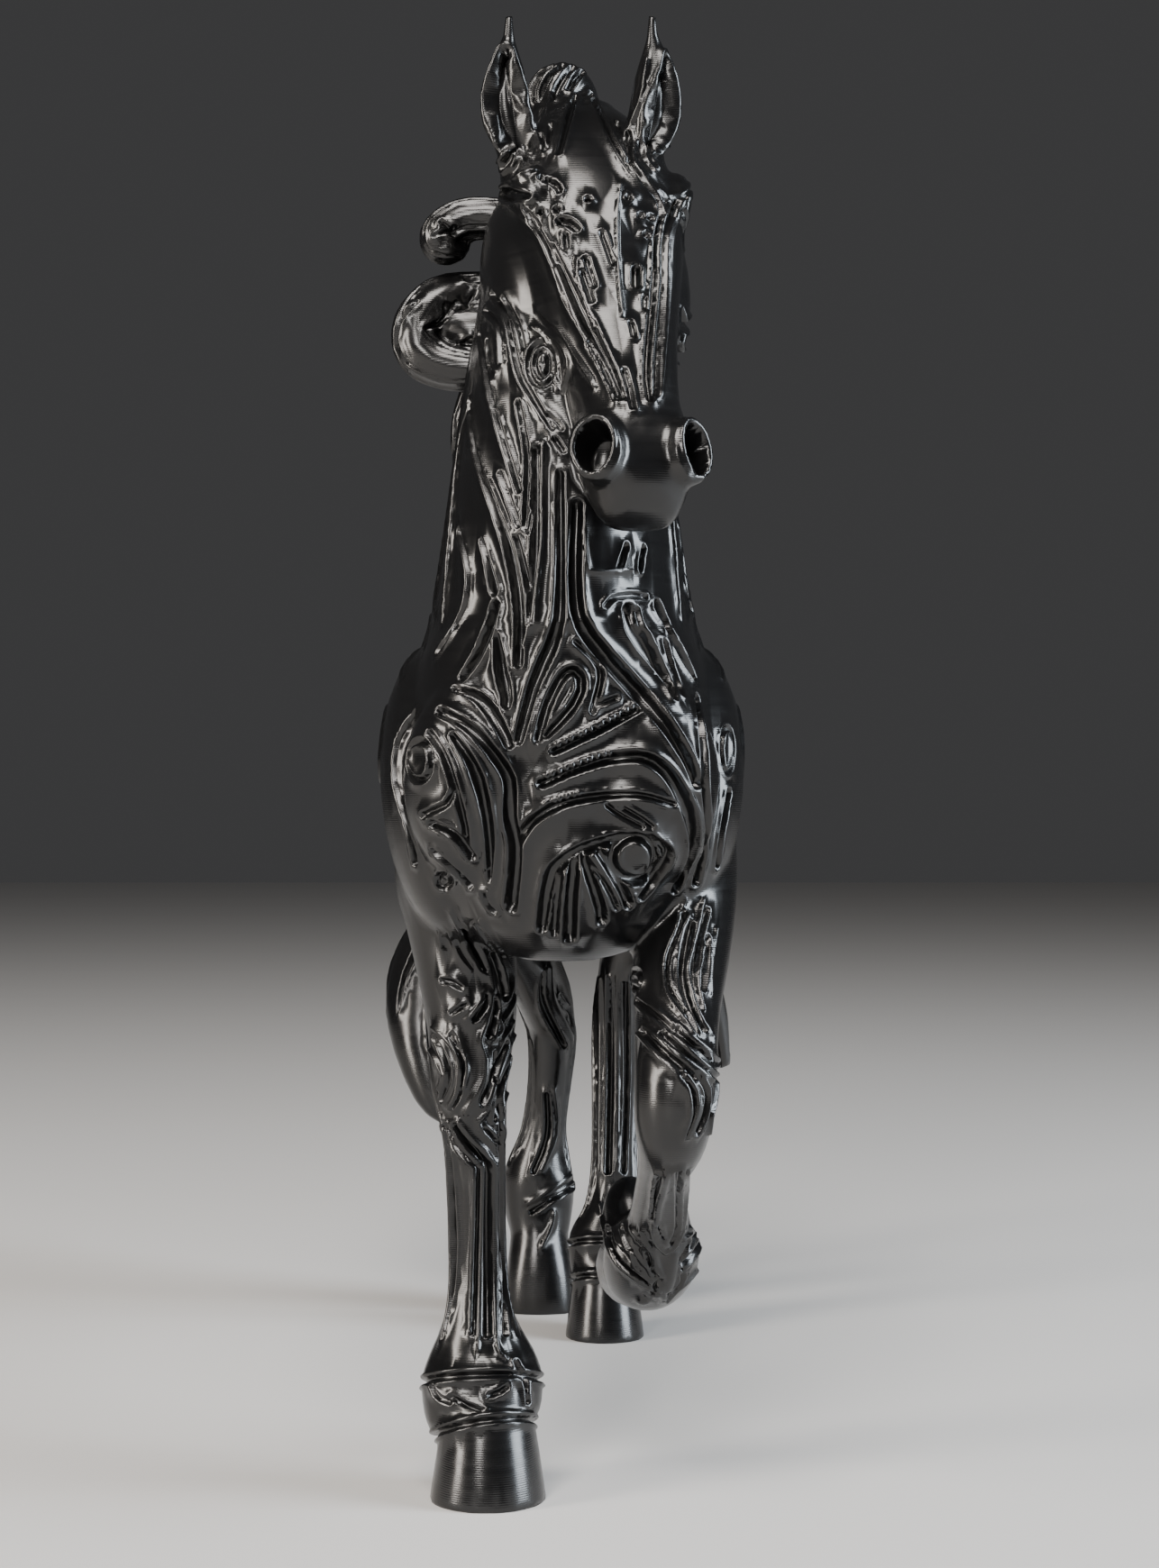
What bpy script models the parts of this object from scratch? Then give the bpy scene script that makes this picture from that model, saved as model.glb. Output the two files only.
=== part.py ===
"""A trotting horse, one solid printed figure covered in flowing carved bands.

The horse faces -Y, its left side is +X and +Z is up. Places and sizes of the figure are given in
units of 1/140 of its height, so that the whole pose follows HEIGHT.
"""

import math

import bmesh
import bpy
from mathutils import Matrix, Vector
from mathutils.bvhtree import BVHTree
from mathutils.kdtree import KDTree

HEIGHT = 0.140  # soles to ear tips
UNITS_HIGH = 140.0
UNIT = HEIGHT / UNITS_HIGH
MIDDLE = (-3.0, 47.1)  # x and y of the middle of the figure, in units

# proportions of the figure, in units
EAR_BASE = 124.5
EAR_LENGTH = 15.9
EARS_MIDDLE = 1.8
EARS_APART = 7.05
TAIL_BACK = 104.5  # how far back the middle of the tail swings
FORE_HOOF = 5.6  # half width on the ground
HIND_HOOF = 4.9
HOOF_HEIGHT = 6.2

RING_SIDES = 28
SKIN_VOXEL = 0.45
SKIN_SMOOTHING = 10
TRIANGLES = 9400

SIDE = Vector((1, 0, 0))
BACK = Vector((0, 1, 0))
EYE = Vector((1.7, -243.6, 67.8))  # the front strokes are pushed onto the skin along sight lines from here

GROOVE = 0.95  # half width of a full groove
DEPTH = 1.0
STEP = 0.35  # between samples of a groove

HEAD_NOD = -27.0
HEAD_TURN = 15.0
HEAD = (
    Matrix.Translation((1.7, 9.0, 131.0))
    @ Matrix.Rotation(math.radians(HEAD_TURN), 4, "Z")
    @ Matrix.Rotation(math.radians(HEAD_NOD), 4, "X")
)


def spline(rows, steps):
    """Catmull-Rom rows between the given rows, each row a tuple of numbers, steps to a span."""
    rows = [Vector(r) for r in rows]
    padded = [2 * rows[0] - rows[1], *rows, 2 * rows[-1] - rows[-2]]
    made = []
    for a, b, c, d in zip(padded, padded[1:], padded[2:], padded[3:]):
        for i in range(steps):
            t = i / steps
            bend = (2 * a - 5 * b + 4 * c - d) * t**2 + (3 * b - a - 3 * c + d) * t**3
            made.append(0.5 * (2 * b + (c - a) * t + bend))
    return made + [rows[-1]]


def loft(mesh, rows, steps=3, side=SIDE, square=2.0, egg=0.0, place=None):
    """A closed tube through rows of (x, y, z, half width, half depth).

    Width runs along side, square rounds the section from an ellipse (2) to a box, and egg widens
    one half of it.
    """
    made = spline(rows, steps)
    rings = []
    for i, row in enumerate(made):
        centre = Vector(row[:3])
        along = Vector(made[min(i + 1, len(made) - 1)][:3]) - Vector(made[max(i - 1, 0)][:3])
        along.normalize()
        across = (side - along * side.dot(along)).normalized()
        depth = along.cross(across)
        ring = []
        for k in range(RING_SIDES):
            angle = 2 * math.pi * k / RING_SIDES
            c, s = math.cos(angle), math.sin(angle)
            c = math.copysign(abs(c) ** (2 / square), c)
            s = math.copysign(abs(s) ** (2 / square), s)
            width = max(row[3], 0.05) * (1 + egg * s)
            point = centre + across * c * width + depth * s * max(row[4], 0.05)
            ring.append(mesh.verts.new(place @ point if place else point))
        rings.append(ring)
    for a, b in zip(rings, rings[1:]):
        for k in range(RING_SIDES):
            mesh.faces.new((a[k], a[(k + 1) % RING_SIDES], b[(k + 1) % RING_SIDES], b[k]))
    mesh.faces.new(list(reversed(rings[0])))
    mesh.faces.new(rings[-1])


def muscle(mesh, centre, half_sizes, tilt=(0, 0, 0), place=None):
    """An ellipsoid with these half sizes, turned by tilt degrees about x, y and z."""
    turn = Matrix.Identity(4)
    for axis, angle in zip("XYZ", tilt):
        turn = Matrix.Rotation(math.radians(angle), 4, axis) @ turn
    whole = Matrix.Translation(centre) @ turn @ Matrix.Diagonal((*half_sizes, 1))
    if place:
        whole = place @ whole
    bmesh.ops.create_uvsphere(mesh, u_segments=24, v_segments=14, radius=1, matrix=whole)


def trunk(mesh):
    """Barrel, chest, shoulders and croup, from the breast to the buttocks."""
    loft(
        mesh,
        [
            (0, -6.0, 69, 6, 7),
            (0, -3.0, 70, 12.0, 12.5),
            (0, 4, 72, 14.8, 17.5),
            (0, 14, 74, 15.2, 22),
            (0, 28, 74, 16.2, 20.5),
            (0, 42, 74, 16.4, 18.5),
            (0, 56, 76, 15.6, 17.5),
            (0, 68, 79, 14.6, 16.5),
            (0, 80, 80.5, 13, 14.5),
            (0, 88, 79.5, 9, 11),
            (0, 92, 78.5, 4, 5),
        ],
        egg=0.12,
    )
    for sign in (-1, 1):
        muscle(mesh, (sign * 10.9, 9, 67), (6.7, 10.5, 15), tilt=(-18, sign * 6, 0))
        muscle(mesh, (sign * 7.0, -1.2, 68), (7.8, 7.2, 10.5), tilt=(8, 0, 0))
        muscle(mesh, (sign * 11.8, 13, 60), (4.8, 8.5, 9))
        muscle(mesh, (sign * 9.3, 73, 78), (7.2, 16, 17), tilt=(12, 0, 0))
        muscle(mesh, (sign * 7.6, 80, 70), (5.8, 9, 14), tilt=(10, 0, 0))
        muscle(mesh, (sign * 10.2, 67, 67), (4.4, 8.5, 12), tilt=(-14, 0, 0))


def neck(mesh):
    """The breast and arched neck, from the breastbone up to the poll."""
    loft(
        mesh,
        [
            (0, 7.5, 53, 7.5, 8),
            (0, 6.5, 58, 12.4, 13.2),
            (0, 7.2, 66, 14.8, 16.2),
            (0, 9.5, 75, 14.6, 18.4),
            (0, 11.0, 82, 13.2, 19.6),
            (0, 9.8, 90, 11.7, 18.2),
            (0, 9.0, 98, 10.5, 16.0),
            (0, 9.4, 106, 9.4, 14.0),
            (0, 10.4, 114, 8.2, 12.2),
            (0.4, 11.0, 122, 7.0, 10.6),
            (1.0, 11.4, 129, 5.6, 8.2),
            (1.5, 11.0, 134.5, 3.6, 4.6),
        ],
    )


def skull(mesh):
    """The head in its own frame: the poll at the origin, the nose down -Z and the face towards -Y."""
    sections = [
        # down the face, half width, front, back
        (-3.5, 3.4, -2.0, 4.0),
        (0.5, 6.0, -4.8, 8.0),
        (5.0, 7.7, -6.6, 10.5),
        (11.0, 8.5, -7.6, 11.5),
        (17.0, 7.9, -7.4, 10.4),
        (23.0, 6.6, -6.8, 7.6),
        (29.0, 5.3, -6.4, 4.4),
        (34.5, 4.6, -6.4, 3.2),
        (38.0, 4.9, -6.8, 3.2),
        (41.3, 4.7, -6.2, 3.0),
        (44.0, 3.8, -4.6, 2.2),
        (45.2, 2.9, -3.0, 0.6),
    ]
    rows = [(0, (f + b) / 2, -s, w, (b - f) / 2) for s, w, f, b in sections]
    loft(mesh, rows, square=2.6, place=HEAD)
    for sign in (-1, 1):
        muscle(mesh, (sign * 6.6, 5.4, -14.5), (3.3, 7.0, 10.0), tilt=(-8, 0, 0), place=HEAD)
        muscle(mesh, (sign * 6.9, -4.0, -11.4), (1.7, 2.3, 3.4), tilt=(0, sign * 12, 0), place=HEAD)
        loft(
            mesh,
            [
                (sign * 2.2 - 0.4, -3.2, -39.8, 2.3, 3.0),
                (sign * 3.8 - 0.4, -4.8, -40.3, 2.5, 3.2),
                (sign * 4.7 - 0.4, -6.0, -40.6, 2.6, 3.3),
            ],
            side=Vector((1, sign * 0.6, 0)),
            place=HEAD,
        )


def ear(mesh, sign):
    """One pointed leaf-shaped ear, standing up beside the poll."""
    rows = [
        # share of the ear's length, shift towards the poll, y, half width, half depth
        (0, 1.6, 4.5, 2.2, 2.4),
        (0.22, 1.1, 3.4, 2.0, 2.3),
        (0.37, 0.3, 2.8, 2.4, 2.2),
        (0.5, 0, 2.4, 2.35, 2.0),
        (0.63, 0, 2.0, 2.0, 1.7),
        (0.76, 0.1, 1.7, 1.3, 1.2),
        (0.87, 0.3, 1.4, 0.6, 0.7),
        (1, 0.3, 1.2, 0.45, 0.45),
    ]
    middle = EARS_MIDDLE + sign * EARS_APART
    loft(mesh, [(middle - sign * shift, y, EAR_BASE + t * EAR_LENGTH, w, d) for t, shift, y, w, d in rows])


def standing_leg(mesh, rows, hoof_x, hoof_y, hoof_top, hoof_width):
    """A leg through its rows, then a flared hoof flat on the ground."""
    loft(mesh, rows)
    loft(
        mesh,
        [
            (hoof_x, hoof_y + 0.8, hoof_top + 1.5, hoof_width * 0.74, hoof_width * 0.8),
            (hoof_x, hoof_y + 0.4, hoof_top, hoof_width * 0.82, hoof_width * 0.9),
            (hoof_x, hoof_y, hoof_top * 0.5, hoof_width * 0.91, hoof_width * 0.98),
            (hoof_x, hoof_y - 0.3, -0.6, hoof_width * 1.01, hoof_width * 1.07),
        ],
        steps=2,
    )


FORE_RIGHT = [
    (-10.9, 10.5, 66, 5.6, 8.5),
    (-10.6, 11.0, 58, 5.4, 7.3),
    (-9.4, 9.8, 51, 5.0, 5.8),
    (-8.8, 8.7, 45, 4.4, 4.7),
    (-8.9, 7.9, 39.5, 3.7, 4.1),
    (-8.5, 7.9, 35.5, 3.2, 3.6),
    (-8.4, 8.0, 31.5, 2.8, 3.0),
    (-8.2, 8.0, 22.0, 2.7, 2.9),
    (-8.0, 7.7, 16.5, 3.4, 3.6),
    (-7.7, 7.1, 11.5, 5.7, 5.0),
    (-7.6, 5.7, 7.6, 5.6, 4.8),
    (-7.3, 4.9, 5.6, 4.4, 4.0),
]
FORE_LEFT = [
    (11.2, 10.0, 66, 5.6, 8.5),
    (11.8, 8.5, 58, 5.2, 7.2),
    (11.4, 4.0, 52, 4.7, 5.6),
    (10.8, -1.5, 46.5, 4.0, 4.6),
    (10.5, -6.0, 41.5, 3.8, 4.2),
    (10.3, -6.4, 37.8, 3.7, 4.1),
    (10.1, -4.6, 35.0, 3.2, 3.7),
    (9.6, -1.8, 32.4, 2.5, 3.0),
    (9.3, 2.0, 29.0, 2.5, 2.7),
    (9.3, 6.6, 25.2, 3.2, 3.2),
    (8.9, 9.4, 22.6, 4.6, 4.2),
    (8.4, 12.4, 20.3, 4.5, 4.3),
    (8.1, 15.0, 19.4, 3.8, 3.8),
]
HIND_LEFT = [
    (9.4, 72, 74, 6.4, 12),
    (10.2, 69, 64, 6.0, 10.5),
    (9.4, 72, 55, 4.8, 7.4),
    (8.0, 78, 47, 3.7, 5.2),
    (6.9, 83, 40.0, 3.3, 4.7),
    (6.5, 83, 35.0, 3.1, 4.0),
    (6.2, 82, 29, 2.8, 3.2),
    (6.0, 81, 21, 2.7, 3.0),
    (5.8, 80, 15.5, 3.3, 3.6),
    (5.4, 79.4, 11.5, 5.0, 4.7),
    (5.2, 78, 7.6, 4.8, 4.4),
    (5.0, 77.2, 5.6, 4.0, 3.8),
]
HIND_RIGHT = [
    (-9.4, 72, 74, 6.4, 12),
    (-10.2, 69, 64, 6.0, 10.5),
    (-8.6, 74, 55, 4.8, 7.2),
    (-5.2, 81, 47, 3.8, 5.2),
    (-2.6, 88, 40, 3.3, 4.7),
    (-1.8, 90, 35.5, 3.0, 4.0),
    (-2.2, 91.5, 29, 2.6, 3.2),
    (-3.0, 92.5, 23, 2.8, 3.1),
    (-3.6, 93.5, 17.5, 4.5, 4.6),
    (-3.6, 94.0, 13, 4.5, 4.4),
    (-3.4, 93.0, 9, 3.6, 3.7),
]
TAIL = [
    (0, 84, 88, 3.6, 3.6),
    (-0.5, 92, 92.5, 4.2, 3.8),
    (-3, TAIL_BACK - 5, 88.5, 5.2, 4.4),
    (-8, TAIL_BACK, 76, 5.8, 5.0),
    (-13, TAIL_BACK + 0.5, 61, 6.0, 5.2),
    (-15.2, TAIL_BACK - 2.5, 50, 4.9, 4.8),
    (-17.8, TAIL_BACK - 4, 42.5, 5.6, 5.0),
    (-18.6, 97, 36, 4.8, 4.2),
    (-17, 94, 27.5, 2.8, 2.6),
    (-14.5, 93, 24, 1.0, 1.0),
]


def legs(mesh):
    """Four legs in a trot: right fore and left hind planted, left fore lifted, right hind trailing."""
    standing_leg(mesh, FORE_RIGHT, -7.0, 3.9, HOOF_HEIGHT, FORE_HOOF)
    standing_leg(mesh, HIND_LEFT, 4.8, 76.5, HOOF_HEIGHT, HIND_HOOF)
    loft(mesh, FORE_LEFT)
    loft(
        mesh,
        [(8.1, 14.4, 19.5, 3.6, 3.7), (7.8, 17.5, 19.4, 4.0, 3.9), (7.5, 20.8, 18.8, 4.3, 4.3)],
        steps=2,
    )
    muscle(mesh, (7.0, 15.8, 23.8), (3.1, 4.0, 5.0), tilt=(0, -6, 0))
    loft(mesh, HIND_RIGHT)
    loft(
        mesh,
        [
            (-3.5, 93.8, 11.5, 3.5, 3.5),
            (-3.5, 92.6, 8.0, 3.9, 3.7),
            (-3.4, 91.2, 4.0, 4.3, 3.1),
            (-3.3, 90.2, -0.6, 4.1, 2.1),
        ],
        steps=2,
    )
    loft(
        mesh,
        [(12.6, 3.0, 51, 2.0, 2.6), (14.6, 4.6, 45.8, 1.3, 1.5), (15.6, 5.6, 40.6, 0.7, 0.7)],
        steps=2,
    )


LOCKS = [
    # each lock leaves the crest and curls on the horse's right: x, y, z, half thickness
    [
        (-2, 17, 123.3, 1.8), (-6.5, 18, 124.7, 1.9), (-10, 18.5, 124.6, 2), (-12.2, 18.5, 123.4, 1.9),
        (-12.4, 18.3, 122.2, 1.8), (-11.4, 18, 121.6, 1.5), (-10.4, 17.2, 122.2, 1.2),
    ],
    [
        (-3, 19, 117.7, 2), (-8.5, 21, 117.5, 2.2), (-12.4, 20.5, 116.6, 2.6), (-14.4, 19.8, 114, 2.7),
        (-14.2, 19, 111.4, 2.5), (-12.2, 18.5, 110, 2.2), (-9.5, 18, 109.4, 2), (-7, 17.5, 109.8, 1.6),
    ],
    [(-3, 19.5, 113.6, 2.6), (-7.5, 20, 113.6, 2.8), (-11, 19.5, 113.2, 2.4), (-12.2, 19, 112.4, 1.6)],
    [
        (-2, 22, 119, 1.8), (-6.5, 24.5, 112, 2.1), (-9.5, 25, 105, 1.9), (-9.5, 24, 99.5, 1.3),
        (-7.5, 23, 97, 0.9),
    ],
    [
        (-2, 24, 111, 1.8), (-6, 27.5, 104, 1.9), (-9.5, 28.5, 97, 1.7), (-10.5, 27, 91.5, 1.2),
        (-9, 25.5, 89.5, 0.9),
    ],
]


def mane(mesh):
    """A low crest of hair that rolls over the poll, with locks that blow to the horse's right."""
    loft(
        mesh,
        [
            (0, 14, 136.4, 1, 1),
            (0, 15, 134.6, 2.2, 1.8),
            (0.2, 17, 131.5, 2.6, 2.6),
            (0, 20.5, 124, 2.6, 2.8),
            (0, 22.5, 115, 2.6, 2.8),
            (0, 24, 106, 2.6, 2.6),
            (0, 26, 98.5, 2.2, 1.8),
        ],
    )
    muscle(mesh, (0, 12, 134.3), (3.7, 3.4, 4.4))
    for rows in LOCKS:
        loft(mesh, [(x, y, z, 1.5 * half, half) for x, y, z, half in rows], side=BACK)


def body_mesh():
    """All the rounded forms together, still overlapping, in units."""
    mesh = bmesh.new()
    trunk(mesh)
    neck(mesh)
    skull(mesh)
    for sign in (-1, 1):
        ear(mesh, sign)
    legs(mesh)
    loft(mesh, TAIL)
    mane(mesh)
    bmesh.ops.recalc_face_normals(mesh, faces=mesh.faces)
    data = bpy.data.meshes.new("horse")
    mesh.to_mesh(data)
    mesh.free()
    return data


def bake(horse):
    """Replaces the mesh of the horse by the result of its modifiers."""
    seen = bpy.context.evaluated_depsgraph_get()
    data = bpy.data.meshes.new_from_object(horse.evaluated_get(seen))
    horse.modifiers.clear()
    horse.data = data


# Strokes seen from the front, as (x, z) on the upright plane y = 0.
FRONT_BODY = [
    [(-8.9, 102.9), (-8.4, 98.6), (-6.5, 93), (-5.1, 89.3), (-4.2, 85.1), (-4, 79.2)],
    [(-6.7, 103.3), (-5.5, 98.6), (-4.3, 95.2), (-3.4, 91.4)],
    [(-10, 93.6), (-9, 88.9), (-8.9, 86), (-9.8, 83), (-11.6, 80.3)],
    [(-6.3, 84.9), (-7.2, 83), (-8.4, 80.3), (-9.1, 77.9)],
    [(-6.4, 81.1), (-5.9, 78.4), (-5.1, 75.1)],
    [(-1.9, 99.9), (-1.7, 94), (-2, 87.2), (-3.1, 81.5)],
    [(0.1, 97.4), (0.2, 90.6), (0.2, 85.1), (-1.1, 80.5), (-2.8, 77.1), (-4.3, 71.9)],
    [(1.3, 95.7), (1.1, 88.1), (1.6, 83), (3.8, 79.2), (7.4, 75), (10.7, 71), (12.9, 67.6)],
    [(3.9, 85.2), (5.8, 81.7), (9.5, 76.7), (12.4, 71)],
    [(9.6, 81.8), (10.2, 78.8), (11, 75.8)],
    [(8.5, 85.7), (10.3, 82.2), (12.3, 79.2), (13.8, 77.3)],
    [(10.9, 88.1), (11.8, 84.3), (13.7, 80.3)],
    [(-2.1, 72.2), (-1.1, 74.7), (0.6, 78.4)],
    [(1.5, 81.1), (2.9, 79.2), (3.6, 76.7), (3.2, 74.6)],
    [(1.5, 78.6), (2.5, 76.9), (2.1, 74.6)],
    [(-0.9, 70.9), (2.7, 73), (7.7, 74.6)],
    [(-2.1, 67.8), (1.4, 69.5), (4.8, 70.3), (7.9, 70.4), (10.3, 68.8), (12.3, 66.1), (13, 62.7), (12.3, 58.7)],
    [(-4.4, 62.6), (-2.8, 64.8), (0.6, 66.4), (3.6, 66.8), (6.5, 66.9)],
    [(-2.8, 55.8), (-2.3, 59.8), (-0.7, 61.7), (2.3, 63.1), (6.5, 64), (9.7, 62.9), (10.9, 60.6), (9.5, 58.1)],
    [(-0.9, 60), (-1.9, 56.8), (-2.2, 53.4)],
    [(0.6, 60), (-0.3, 56.8), (-0.6, 53)],
    [(1.9, 60.4), (2.8, 58.1), (3.1, 55)],
    [(2.9, 61.5), (4.2, 58.9), (5.6, 55.8)],
    [(-4.8, 69.7), (-4.5, 63.2), (-4.8, 56.1)],
    [(-11.4, 74.3), (-8.5, 72.4), (-6.7, 69.1), (-5.9, 64.4), (-5.5, 58.1)],
    [(-11.1, 76.8), (-8, 75.1), (-6.2, 72.4), (-5.1, 70.5)],
    [(-10.2, 72.4), (-8.4, 69.9), (-7.3, 66.1), (-6.6, 59.4)],
    [(-13.1, 64), (-10.8, 63.6), (-8.5, 61.5), (-6.6, 58.1)],
    [(-14, 74.6), (-15.4, 71.6), (-15.7, 68.2), (-14.8, 64), (-13.9, 60)],
    [(12.9, 76.4), (13.4, 73.7), (13.9, 69.5), (13.9, 64.4), (13.3, 58.1)],
    [(16.4, 68.6), (15.9, 65.3), (15, 59.4)],
]
FRONT_LEGS = [
    [(-6.6, 55.1), (-5.3, 52.6), (-4.5, 50.1), (-4.6, 48), (-5.3, 46.9)],
    [(-8.1, 54.3), (-6.7, 51.3), (-6.2, 48.4), (-6.6, 45.4), (-7.7, 43.1)],
    [(-10.3, 54.5), (-9.3, 52.2), (-7.8, 49.9)],
    [(-7.2, 48.4), (-7.4, 46.7), (-8.5, 44.8), (-10.1, 44.2)],
    [(-11.2, 45), (-9.7, 43.3), (-8.9, 41.2), (-8.9, 39.5), (-9.7, 37.6)],
    [(-4.5, 44.8), (-5.5, 42.9), (-6.2, 40.8), (-6.8, 38.4), (-7.6, 36.5)],
    [(-10.8, 36.3), (-10.3, 34.5), (-8.7, 32.7), (-8.2, 31.1), (-8.2, 23), (-8.6, 14.6)],
    [(-9.1, 36.5), (-8.4, 34.7), (-6.9, 32.7), (-6.6, 31.1), (-6.9, 23), (-6.8, 14.6)],
    [(11.3, 56.6), (10.5, 53.9), (9.6, 51.8), (9.6, 50.1), (10.1, 48), (11.4, 45.8), (13.4, 43.6)],
    [(12.8, 56.4), (12, 52.6), (11.8, 49.6), (12.3, 47.1), (13.4, 45), (14.2, 43.3)],
    [(7.1, 46.9), (8.6, 45.7), (10.7, 44.2), (13.9, 41.8)],
    [(7.2, 44.2), (8.4, 42.5), (10.3, 40.8), (11.4, 39.5), (12.3, 37.8), (11.8, 35)],
    [(8.4, 39.5), (8.5, 37), (9.5, 34.9)],
    [(10.4, 33), (9.6, 30.6), (9, 28.1), (9, 26), (9.7, 24)],
    [(11.8, 32.7), (11.5, 29.8), (11.3, 26.4)],
    [(6.8, 26.2), (8, 24.6), (9, 22.6)],
    [(4, 26.4), (4.8, 23.5), (7.2, 21.3)],
    [(13.3, 24.9), (12.2, 23.2), (10.9, 21.3)],
]
FACE = [
    [(-3.4, 121.3), (-1.8, 118.6), (0.2, 114.3), (2.5, 109.9), (4.5, 105.8), (5.7, 103.1)],
    [(-6.2, 121.2), (-4.8, 117.2), (-2.4, 113.4), (0.6, 108.8), (3.3, 103.9)],
    [(8.8, 122.5), (8.7, 115.9), (8.3, 109.2), (8, 103.1)],
    [(10.4, 122), (9.8, 115.9), (9.6, 109.2), (9.6, 103.1)],
    [(0.9, 132.3), (0.4, 129.5), (-1.1, 126.4)],
    [(2.3, 132.8), (4, 129.5), (5.7, 125.1)],
    [(-6.6, 123.2), (-4, 124), (-1.9, 124.4), (-0.2, 123.4)],
    [(3.5, 110.5), (4.8, 107.5), (6.3, 103.1)],
    [(5.9, 111.3), (6.5, 107.5), (7.2, 103.1)],
    [(-7, 113.4), (-5.3, 109.6), (-4.3, 105.8), (-1.9, 102.3)],
    [(-8, 109.2), (-6.8, 105.4), (-5.6, 100.9)],
    [(1.4, 102.2), (4.1, 102.9), (6.5, 102.7), (11.8, 102.5)],
]


def spiral(middle, radii, turns, start=0, points=14):
    """Points of a spiral in a plane, from the first radius to the second."""
    made = []
    for i in range(points + 1):
        t = i / points
        radius = radii[0] + (radii[1] - radii[0]) * t
        angle = math.radians(start) + 2 * math.pi * turns * t
        made.append((middle[0] + radius * math.cos(angle), middle[1] + radius * math.sin(angle)))
    return made


def cast(skin, start, way, clear=-99):
    """The first place on the skin from start along way that faces start and whose y is above clear."""
    for _ in range(8):
        place, normal = skin.ray_cast(start, way)[:2]
        if place is None or (place.y > clear and normal.dot(way) < 0):
            return place
        start = place + way * 0.05
    return None


class Carving:
    """Grooves gathered as samples on the skin, then cut into it."""

    def __init__(self, skin):
        self.skin = skin
        self.places = []
        self.sizes = []

    def groove(self, places, width=1.0, depth=1.0, ends=(1, 1)):
        """Adds a groove through places, pointed at the ends that are 1 and blunt at those that are 0."""
        line = [places[0]]
        for a, b in zip(places, places[1:]):
            parts = max(1, round((b - a).length / STEP))
            line.extend(a.lerp(b, (i + 1) / parts) for i in range(parts))
        for i, place in enumerate(line):
            near = min(i / 8 + (1 - ends[0]), (len(line) - 1 - i) / 8 + (1 - ends[1]), 1)
            size = near * (2 - near)
            self.places.append(place)
            self.sizes.append((GROOVE * width * (0.35 + 0.65 * size), DEPTH * depth * size))

    def pressed(self, points, ray, **shape):
        """A groove through the skin places that ray finds for the points of a smooth stroke."""
        run = []
        for point in spline(points, 6):
            place = ray(point)
            if place is not None and run and (place - run[-1]).length > 7:
                if len(run) > 3:
                    self.groove(run, **shape)
                run = []
            if place is not None:
                run.append(place)
        if len(run) > 3:
            self.groove(run, **shape)

    def front(self, points, clear=-99, **shape):
        """A stroke of (x, z) points pressed onto the skin along the sight lines from the eye."""

        def ray(point):
            way = (Vector((point[0], 0, point[1])) - EYE).normalized()
            return cast(self.skin, EYE, way, clear)

        self.pressed(points, ray, **shape)

    def flank(self, points, signs=(-1, 1), out=40, **shape):
        """A stroke of (y, z) points pressed onto the sides from outside."""
        for sign in signs:
            way = Vector((-sign, 0, 0))
            self.pressed(points, lambda p: cast(self.skin, Vector((sign * out, p[0], p[1])), way), **shape)

    def cheek(self, points, signs=(-1, 1), **shape):
        """A stroke of (back, down) points in the frame of the head, pressed onto its sides."""
        for sign in signs:
            way = HEAD.to_3x3() @ Vector((-sign, 0, 0))
            out = sign * 15
            self.pressed(points, lambda p: cast(self.skin, HEAD @ Vector((out, p[0], -p[1])), way), **shape)

    def above(self, points, **shape):
        """A stroke of (x, y) points pressed down from above."""
        way = Vector((0, 0, -1))
        self.pressed(points, lambda p: cast(self.skin, Vector((p[0], p[1], 110)), way), **shape)

    def wrapped(self, rows, points, side=SIDE, **shape):
        """A stroke of (row number, degrees) points around the limb that these rows describe."""

        def ray(point):
            t = min(max(point[0], 0), len(rows) - 1.001)
            i = int(t)
            a, b = Vector(rows[i][:3]), Vector(rows[i + 1][:3])
            along = (b - a).normalized()
            across = (side - along * side.dot(along)).normalized()
            angle = math.radians(point[1])
            way = across * math.cos(angle) + along.cross(across) * math.sin(angle)
            return self.skin.ray_cast(a.lerp(b, t - i), way, 13)[0]

        self.pressed(points, ray, **shape)


def hollow(horse, centre, facing, half_width, half_height, depth):
    """Sinks an oval hollow into the surface round centre that faces the given way."""
    frame = Matrix.Translation(centre) @ facing.to_track_quat("Z", "Y").to_matrix().to_4x4()
    outward = frame.to_3x3() @ Vector((0, 0, 1))
    back = frame.inverted()
    for vertex in horse.data.vertices:
        place = back @ vertex.co
        spread = (place.x / half_width) ** 2 + (place.y / half_height) ** 2
        if spread < 1 and abs(place.z) < 2.5 and vertex.normal.dot(outward) > 0.25:
            vertex.co -= outward * depth * (1 - spread) ** 0.5


def cut(horse, carving):
    """Sinks the skin under the grooves."""
    tree = KDTree(len(carving.places))
    for i, place in enumerate(carving.places):
        tree.insert(place, i)
    tree.balance()
    reach = max(size[0] for size in carving.sizes)
    group = horse.vertex_groups.new(name="carving")
    for vertex in horse.data.vertices:
        deepest = 0.0
        for place, i, distance in tree.find_range(vertex.co, reach):
            width, depth = carving.sizes[i]
            if distance < width:
                deepest = max(deepest, depth * (1 + math.cos(math.pi * distance / width)) / 2)
        if deepest:
            group.add([vertex.index], deepest / (2 * DEPTH), "REPLACE")
    sink = horse.modifiers.new("Grooves", "DISPLACE")
    sink.vertex_group = "carving"
    sink.mid_level = 0
    sink.strength = -2 * DEPTH


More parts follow.
